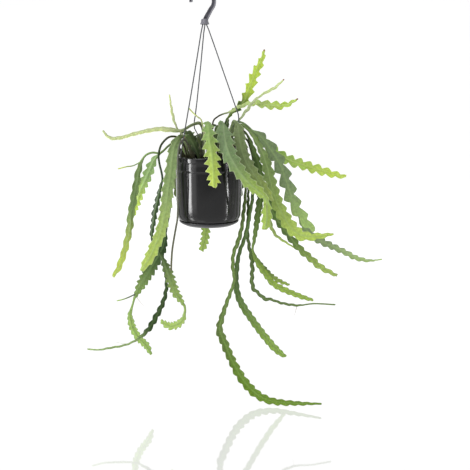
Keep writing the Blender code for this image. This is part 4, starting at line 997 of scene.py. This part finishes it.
stem("stem_left_tail", (-52, 22), [
    (-57, 22, 4, 0), (-66, 21, 16, 0), (-77, 18, 18, 0), (-87, 13, 4, 0), (-92, 9, -30, 0),
    (-96, 7, -76, 0), (-99, 6, -121, 0), (-103, 6, -167, 0), (-106, 5, -208, 3), (-104, 4, -240, 4),
    (-100, 2, -265, 4), (-98, 0, -290, 5), (-101, -2, -315, 6), (-109, -5, -340, 7), (-120, -7, -361, 8),
    (-130, -10, -379, 8), (-141, -15, -395, 7), (-159, -19, -411, 4), (-176, -24, -421, 3),
    (-196, -30, -427, 3), (-225, -37, -430, 3), (-249, -44, -432, 2), (-274, -50, -428, 0),
], FRONT, tailed_skin, "stem_dark_green", stalk=1.8, young=(0.76, 0.84))

# Back stems
# The plant is as full behind as in front: one narrow stem whose end shows under the saucer, and five
# broad ones that arch over the back of the rim.
stem("stem_back_hanging", (8, 48), [
    (9, 58, 12, 0), (9, 68, 24, 0), (8, 79, 22, 0), (5, 87, 6, 3), (-2, 91, -28, 8), (-8, 93, -75, 11),
    (-9, 94, -123, 12), (-11, 93, -173, 12), (-13, 92, -200, 12), (-17, 92, -218, 11), (-22, 92, -233, 6),
], BACK, turning_skin, "stem_mid_green", pitches=(20, 12))
stem("stem_back_left", (-34, 38), [
    (-38, 50, 24, 8), (-42, 64, 42, 10), (-45, 80, 46, 11), (-52, 98, 38, 12), (-58, 118, 14, 13),
    (-60, 132, -24, 14), (-60, 138, -70, 13), (-56, 138, -118, 11), (-52, 136, -150, 1),
], BACK, full_skin, "stem_mid_green")
stem("stem_back_middle", (-20, 54), [
    (-20, 60, 8, 5), (-21, 68, 32, 9), (-22, 82, 44, 11), (-24, 104, 38, 12), (-28, 128, 14, 14),
    (-30, 146, -26, 15), (-30, 156, -76, 14), (-27, 158, -126, 12), (-24, 156, -160, 1),
], BACK, shade_skin, "stem_old_green")
stem("stem_back_right", (26, 40), [
    (29, 52, 24, 8), (32, 66, 44, 10), (36, 84, 50, 11), (42, 106, 42, 12), (48, 128, 16, 13),
    (50, 144, -24, 14), (48, 152, -72, 13), (44, 154, -120, 11), (40, 152, -152, 1),
], BACK, full_skin, "stem_mid_green")
stem("stem_back_far_right", (38, 42), [
    (44, 50, 16, 5), (52, 60, 32, 8), (60, 71, 34, 9), (68, 86, 22, 11), (73, 102, -8, 12),
    (74, 112, -50, 12), (70, 116, -94, 10), (66, 116, -128, 1),
], (0.6, 0.8, 0.0), shade_skin, "stem_old_green")
stem("stem_back_far_left", (-44, 32), [
    (-50, 38, 14, 5), (-58, 46, 28, 7), (-68, 58, 30, 8), (-78, 74, 18, 10), (-84, 90, -10, 12),
    (-84, 100, -52, 12), (-80, 104, -94, 10), (-76, 104, -124, 1),
], (-0.6, 0.8, 0.0), full_skin, "stem_mid_green")

# Crown stems
# Short old stems that stand in the middle of the crown in the shade of the others and fill it.
# Their skin is painted near black as painted shade for the dark inside the crown
crown_skin = waxy_skin("deep_shade_stem_skin", "#2f4020", "#4c6234", "#35472a", "#55693e", (0.34, 0.46))

stem("stem_crown_left", (-22, 16), [
    (-24, 16, 10, 5), (-30, 17, 30, 7), (-40, 18, 46, 7), (-53, 20, 52, 5), (-64, 24, 46, 1),
], FRONT, crown_skin, "stem_old_green", pitches=(16, 14), valley=0.4)
stem("stem_crown_middle", (-14, 34), [
    (-14, 33, 10, 6), (-10, 30, 34, 8), (-2, 28, 54, 8), (8, 28, 64, 5), (17, 30, 66, 1),
], FRONT, crown_skin, "stem_dark_green", pitches=(16, 14), valley=0.4)
stem("stem_crown_front", (10, -14), [
    (12, -14, 10, 5), (15, -15, 30, 9), (19, -16, 50, 9), (23, -17, 66, 5), (27, -18, 76, 1),
], FRONT, crown_skin, "stem_old_green")
stem("stem_crown_front_left", (-20, -30), [
    (-22, -30, 4, 5), (-28, -31, 20, 9), (-35, -32, 34, 9), (-43, -34, 42, 5), (-50, -37, 42, 1),
], FRONT, crown_skin, "stem_dark_green")
stem("stem_crown_right", (22, 4), [
    (25, 6, 14, 5), (30, 7, 36, 9), (36, 7, 56, 8), (41, 6, 70, 4), (44, 5, 80, 1),
], FRONT, crown_skin, "stem_old_green")

# Bark chips
# Chips of composted bark, strewn on the peat once the stems are planted. They lie loose between the
# stalks and keep clear of them.
BARK_CHIPS = 260
STREWN_RADIUS = 66.0
CHIP_LENGTHS = (2.5, 8.5)
# Width and thickness as shares of the length, and the middle's height over the level of the peat
CHIP_WIDTHS = (0.4, 0.7)
CHIP_THICKNESSES = (0.15, 0.3)
CHIP_LIFTS = (0.6, 2.4)
CHIP_TILT = 0.35
CHIP_CLEARANCE = 1.0

# Composted pine bark: broken flat chips, red-brown with paler broken edges, dry and matt.
bark, tree = finish("composted_pine_bark")
here = node(tree, "ShaderNodeTexCoord")
tone = noise(tree, (here, "Object"), 110.0, 6.0)
fibres = noise(tree, (here, "Object"), 900.0, 3.0)
brown = ramp(tree, tone, [(0.32, "#2b1a10"), (0.5, "#553722"), (0.7, "#86654a")])
relief = bump(tree, (fibres, "Fac"), 0.6, 0.0003)
surface(tree, {"Base Color": (brown, "Color"), "Roughness": 0.88, "Normal": (relief, "Normal")})


def copies_of(pattern, name, turns):
    """Copies of a small shape, each turned, sized and placed by its matrix, joined into one piece."""
    bpy.ops.object.select_all(action="DESELECT")
    for turn in turns:
        copy = pattern.copy()
        copy.data = pattern.data.copy()
        copy.matrix_world = turn
        bpy.context.collection.objects.link(copy)
        copy.select_set(True)
        bpy.context.view_layer.objects.active = copy
    bpy.ops.object.join()
    bpy.data.objects.remove(pattern, do_unlink=True)
    piece = bpy.context.object
    piece.name = name
    settle(piece)
    return piece


def turned_matrix(spot, angles, size):
    """The matrix of a copy at a spot in metres, with its turn and its size."""
    turn = Matrix.Translation(spot) @ Euler(angles).to_matrix().to_4x4()
    return turn @ Matrix.Diagonal((*size, 1.0))


bpy.ops.object.select_all(action="DESELECT")
bpy.ops.mesh.primitive_cube_add(size=1.0)
chip = bpy.context.object
edit_all()
bpy.ops.mesh.subdivide(number_cuts=1, smoothness=0.35, fractal=0.25, seed=4)
bpy.ops.object.mode_set(mode="OBJECT")
chip.data.materials.append(bark)
scatter = random.Random(11)
chip_turns = []
while len(chip_turns) < BARK_CHIPS:
    x, y = round_spot(STREWN_RADIUS * math.sqrt(scatter.random()), 360.0 * scatter.random())
    long = scatter.uniform(*CHIP_LENGTHS)
    wide, thick = long * scatter.uniform(*CHIP_WIDTHS), long * scatter.uniform(*CHIP_THICKNESSES)
    size = Vector((long, wide, thick)) * MM
    angles = (scatter.uniform(-CHIP_TILT, CHIP_TILT), scatter.uniform(-CHIP_TILT, CHIP_TILT),
              scatter.uniform(0.0, 6.28))
    if all(math.hypot(x - foot_x, y - foot_y) > long / 2 + stalk + CHIP_CLEARANCE
           for foot_x, foot_y, stalk in stem_feet):
        chip_turns.append(turned_matrix(place(x, y, SOIL_TOP + scatter.uniform(*CHIP_LIFTS)), angles, size))
bark_chips = copies_of(chip, "bark_chips", chip_turns)
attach(bark_chips, "root")

# Spine cushions
# In every notch sits an areole: a pad of pale brown wool under a millimetre across, with a few soft
# bristles. It is the plant's own growth, so it sits straight on the margin.
cushion_wool = mottled("areole_wool", 1500.0, 3.0, [(0.35, "#86714f"), (0.7, "#c2b08a")], Roughness=0.9)

bpy.ops.object.select_all(action="DESELECT")
bpy.ops.mesh.primitive_ico_sphere_add(subdivisions=1, radius=1.0)
pad = bpy.context.object
edit_all()
bpy.ops.transform.resize(value=(0.8, 1.25, 0.8), center_override=(0.0, 0.0, 0.0))
bpy.ops.object.mode_set(mode="OBJECT")
for lean_x, lean_y in ((0.5, 0.3), (-0.4, 0.6), (0.1, -0.6)):
    bpy.ops.mesh.primitive_cone_add(vertices=3, radius1=0.16, depth=2.6, location=(lean_x, lean_y, 1.5),
                                    rotation=(-lean_y * 0.8, lean_x * 0.8, 0.0))
    pad.select_set(True)
    bpy.context.view_layer.objects.active = pad
    bpy.ops.object.join()
    bpy.ops.object.select_all(action="DESELECT")
bpy.context.view_layer.objects.active = pad
pad.data.materials.append(cushion_wool)
# A pad's radius in millimetres, and what each millimetre of the stem's half width adds to it
PAD_RADIUS = 0.38
PAD_GROWTH = 0.014
wool_size = random.Random(5)
pad_turns = []
for spot, out, face, width in cushions:
    size = (PAD_RADIUS + PAD_GROWTH * width) * wool_size.uniform(0.8, 1.2) * MM
    beside = out.cross(face).normalized()
    turn = Matrix((face.cross(out), beside, out)).transposed().to_4x4()
    move = Matrix.Translation((RIM_CENTRE + spot) * MM)
    pad_turns.append(move @ turn @ Matrix.Diagonal((size, size, size, 1.0)))
spine_cushions = copies_of(pad, "spine_cushions", pad_turns)
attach(spine_cushions, "root")

# Aerial roots
# Five thin, dry, tan roots that some stems send out. Each starts inside its stem, tapers to a soft point,
# bows a little and hangs free.
ROOT_RADIUS = 0.6
ROOT_SIDES = 6
# Where each root leaves its stem, where it ends, and how far it bows out half way, to the side and up
ROOTS = [
    ((123, -92, -90), (108, -94, -105), (1.0, 0.0)),
    ((126, -92, -89), (125, -95, -118), (-1.5, 0.0)),
    ((206, 69, -362), (199, 67, -388), (1.0, 0.0)),
    ((-167, -3, -320), (-148, -6, -343), (-1.0, 0.0)),
    ((125, 7, 117), (117, 7, 112), (0.4, 0.0)),
]
root_bark = mottled("dry_aerial_root", 300.0, 4.0, [(0.3, "#6e5a3e"), (0.7, "#a38c66")], Roughness=0.85)


def bowed_places(start, end, bow, radius, taper):
    """Five places from start to end that bow out half way, with a radius that tapers by a share."""
    places = []
    for i in range(5):
        share = i / 4
        side = Vector((bow[0], 0.0, bow[1])) * 4.0 * share * (1.0 - share)
        spot = Vector(start).lerp(Vector(end), share) + side
        places.append((*spot, radius * (1.0 - taper * share)))
    return places


for number, (start, end, bow) in enumerate(ROOTS, 1):
    places = bowed_places(start, end, bow, ROOT_RADIUS, 0.75)
    root = draw_rod("aerial_root_" + str(number), ROOT_SIDES, places)
    root.data.materials.append(root_bark)
    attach(root, "root")

# Twigs
# Short leafless shoots in their first weeks, still round and pale, that stand out from three old stems.
TWIG_SIDES = 8
# Each has its radius at the foot, both of its ends, and how far it bows out half way
TWIGS = [
    (1.1, (-184, -26, -424), (-212, -27, -420), (0.0, -1.0)),
    (1.3, (147, -46, -169), (106, -48, -170), (0.0, -1.0)),
    (0.9, (-172, -46, -138), (-199, -50, -137), (0.0, 1.0)),
]
twig_skin = mottled("young_twig_skin", 250.0, 4.0, [(0.3, "#8e9c68"), (0.7, "#b4c08c")], Roughness=0.5,
                    IOR=1.42)

for number, (radius, start, end, bow) in enumerate(TWIGS, 1):
    twig = draw_rod("twig_" + str(number), TWIG_SIDES, bowed_places(start, end, bow, radius, 0.5))
    twig.data.materials.append(twig_skin)
    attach(twig, "root")

# Studio
# A white board under the plant and a white wall behind it, softboxes to the upper left and above, strip
# lights at both sides whose long reflections stand in the pot's wall, and the photograph's camera.
FLOOR_HEIGHT = -0.9155
BOARD_SIZE = 8.0
# The board is glossy enough to mirror the lowest stems faintly, and lit until it turns white.
board, tree = finish("glossy_white_board")
surface(tree, {
    "Base Color": linear("#7a7a7a"), "Roughness": 0.04, "IOR": 2.0, "Coat Weight": 1.0,
    "Coat Roughness": 0.03, "Coat IOR": 2.0, "Emission Color": linear("#ffffff"),
    "Emission Strength": 0.69})
bpy.ops.object.select_all(action="DESELECT")
bpy.ops.mesh.primitive_plane_add(size=BOARD_SIZE, location=(0.0, 0.5, FLOOR_HEIGHT))
floor = bpy.context.object
floor.name = "board_floor"
floor.data.materials.append(board)

white_wall, tree = finish("lit_white_wall")
surface(tree, {
    "Base Color": linear("#c8c8c8"), "Roughness": 0.8, "Emission Color": linear("#ffffff"),
    "Emission Strength": 0.64})
bpy.ops.object.select_all(action="DESELECT")
bpy.ops.mesh.primitive_plane_add(size=BOARD_SIZE, location=(0.0, 4.5, FLOOR_HEIGHT + BOARD_SIZE / 2),
                                 rotation=(math.radians(90.0), 0.0, 0.0))
wall = bpy.context.object
wall.name = "studio_wall"
wall.data.materials.append(white_wall)

world = bpy.data.worlds.new("white_room")
world.use_nodes = True
world.node_tree.nodes.clear()
sky = node(world.node_tree, "ShaderNodeBackground", {"Color": linear("#ffffff"), "Strength": 0.42})
node(world.node_tree, "ShaderNodeOutputWorld", {"Surface": (sky, "Background")})
bpy.context.scene.world = world


def hang_light(name, spot, target, size, power):
    """A soft rectangular lamp that faces a point and isn't seen itself."""
    lamp = bpy.data.lights.new(name, "AREA")
    lamp.shape = "RECTANGLE"
    lamp.size, lamp.size_y = size
    lamp.energy = power
    lamp_object = bpy.data.objects.new(name, lamp)
    lamp_object.location = spot
    lamp_object.rotation_euler = (Vector(target) - Vector(spot)).to_track_quat("-Z", "Y").to_euler()
    lamp_object.visible_camera = False
    bpy.context.collection.objects.link(lamp_object)


hang_light("key_softbox", (-1.1, -1.5, 0.9), (0.0, 0.0, -0.4), (1.2, 1.2), 13.0)
hang_light("top_softbox", (0.2, -0.2, 1.5), (0.0, 0.0, -0.4), (1.6, 1.6), 10.0)
hang_light("left_strip", (-1.28, -0.56, -0.45), (0.0, 0.0, -0.42), (0.3, 0.72), 11.0)
hang_light("left_glow", (-1.09, -0.88, -0.45), (0.0, 0.0, -0.42), (0.5, 0.72), 1.0)
hang_light("right_strip", (1.32, -0.49, -0.45), (0.0, 0.0, -0.42), (0.08, 0.72), 5.0)

camera = bpy.data.cameras.new("camera")
camera.lens = 54.0
camera.sensor_width = 36.0
camera_object = bpy.data.objects.new("camera", camera)
camera_object.location = (0.068, -1.556, -0.224)
camera_object.rotation_euler = (math.radians(79.16), 0.0, 0.0)
bpy.context.collection.objects.link(camera_object)
bpy.context.scene.camera = camera_object
bpy.context.scene.view_settings.view_transform = "Standard"
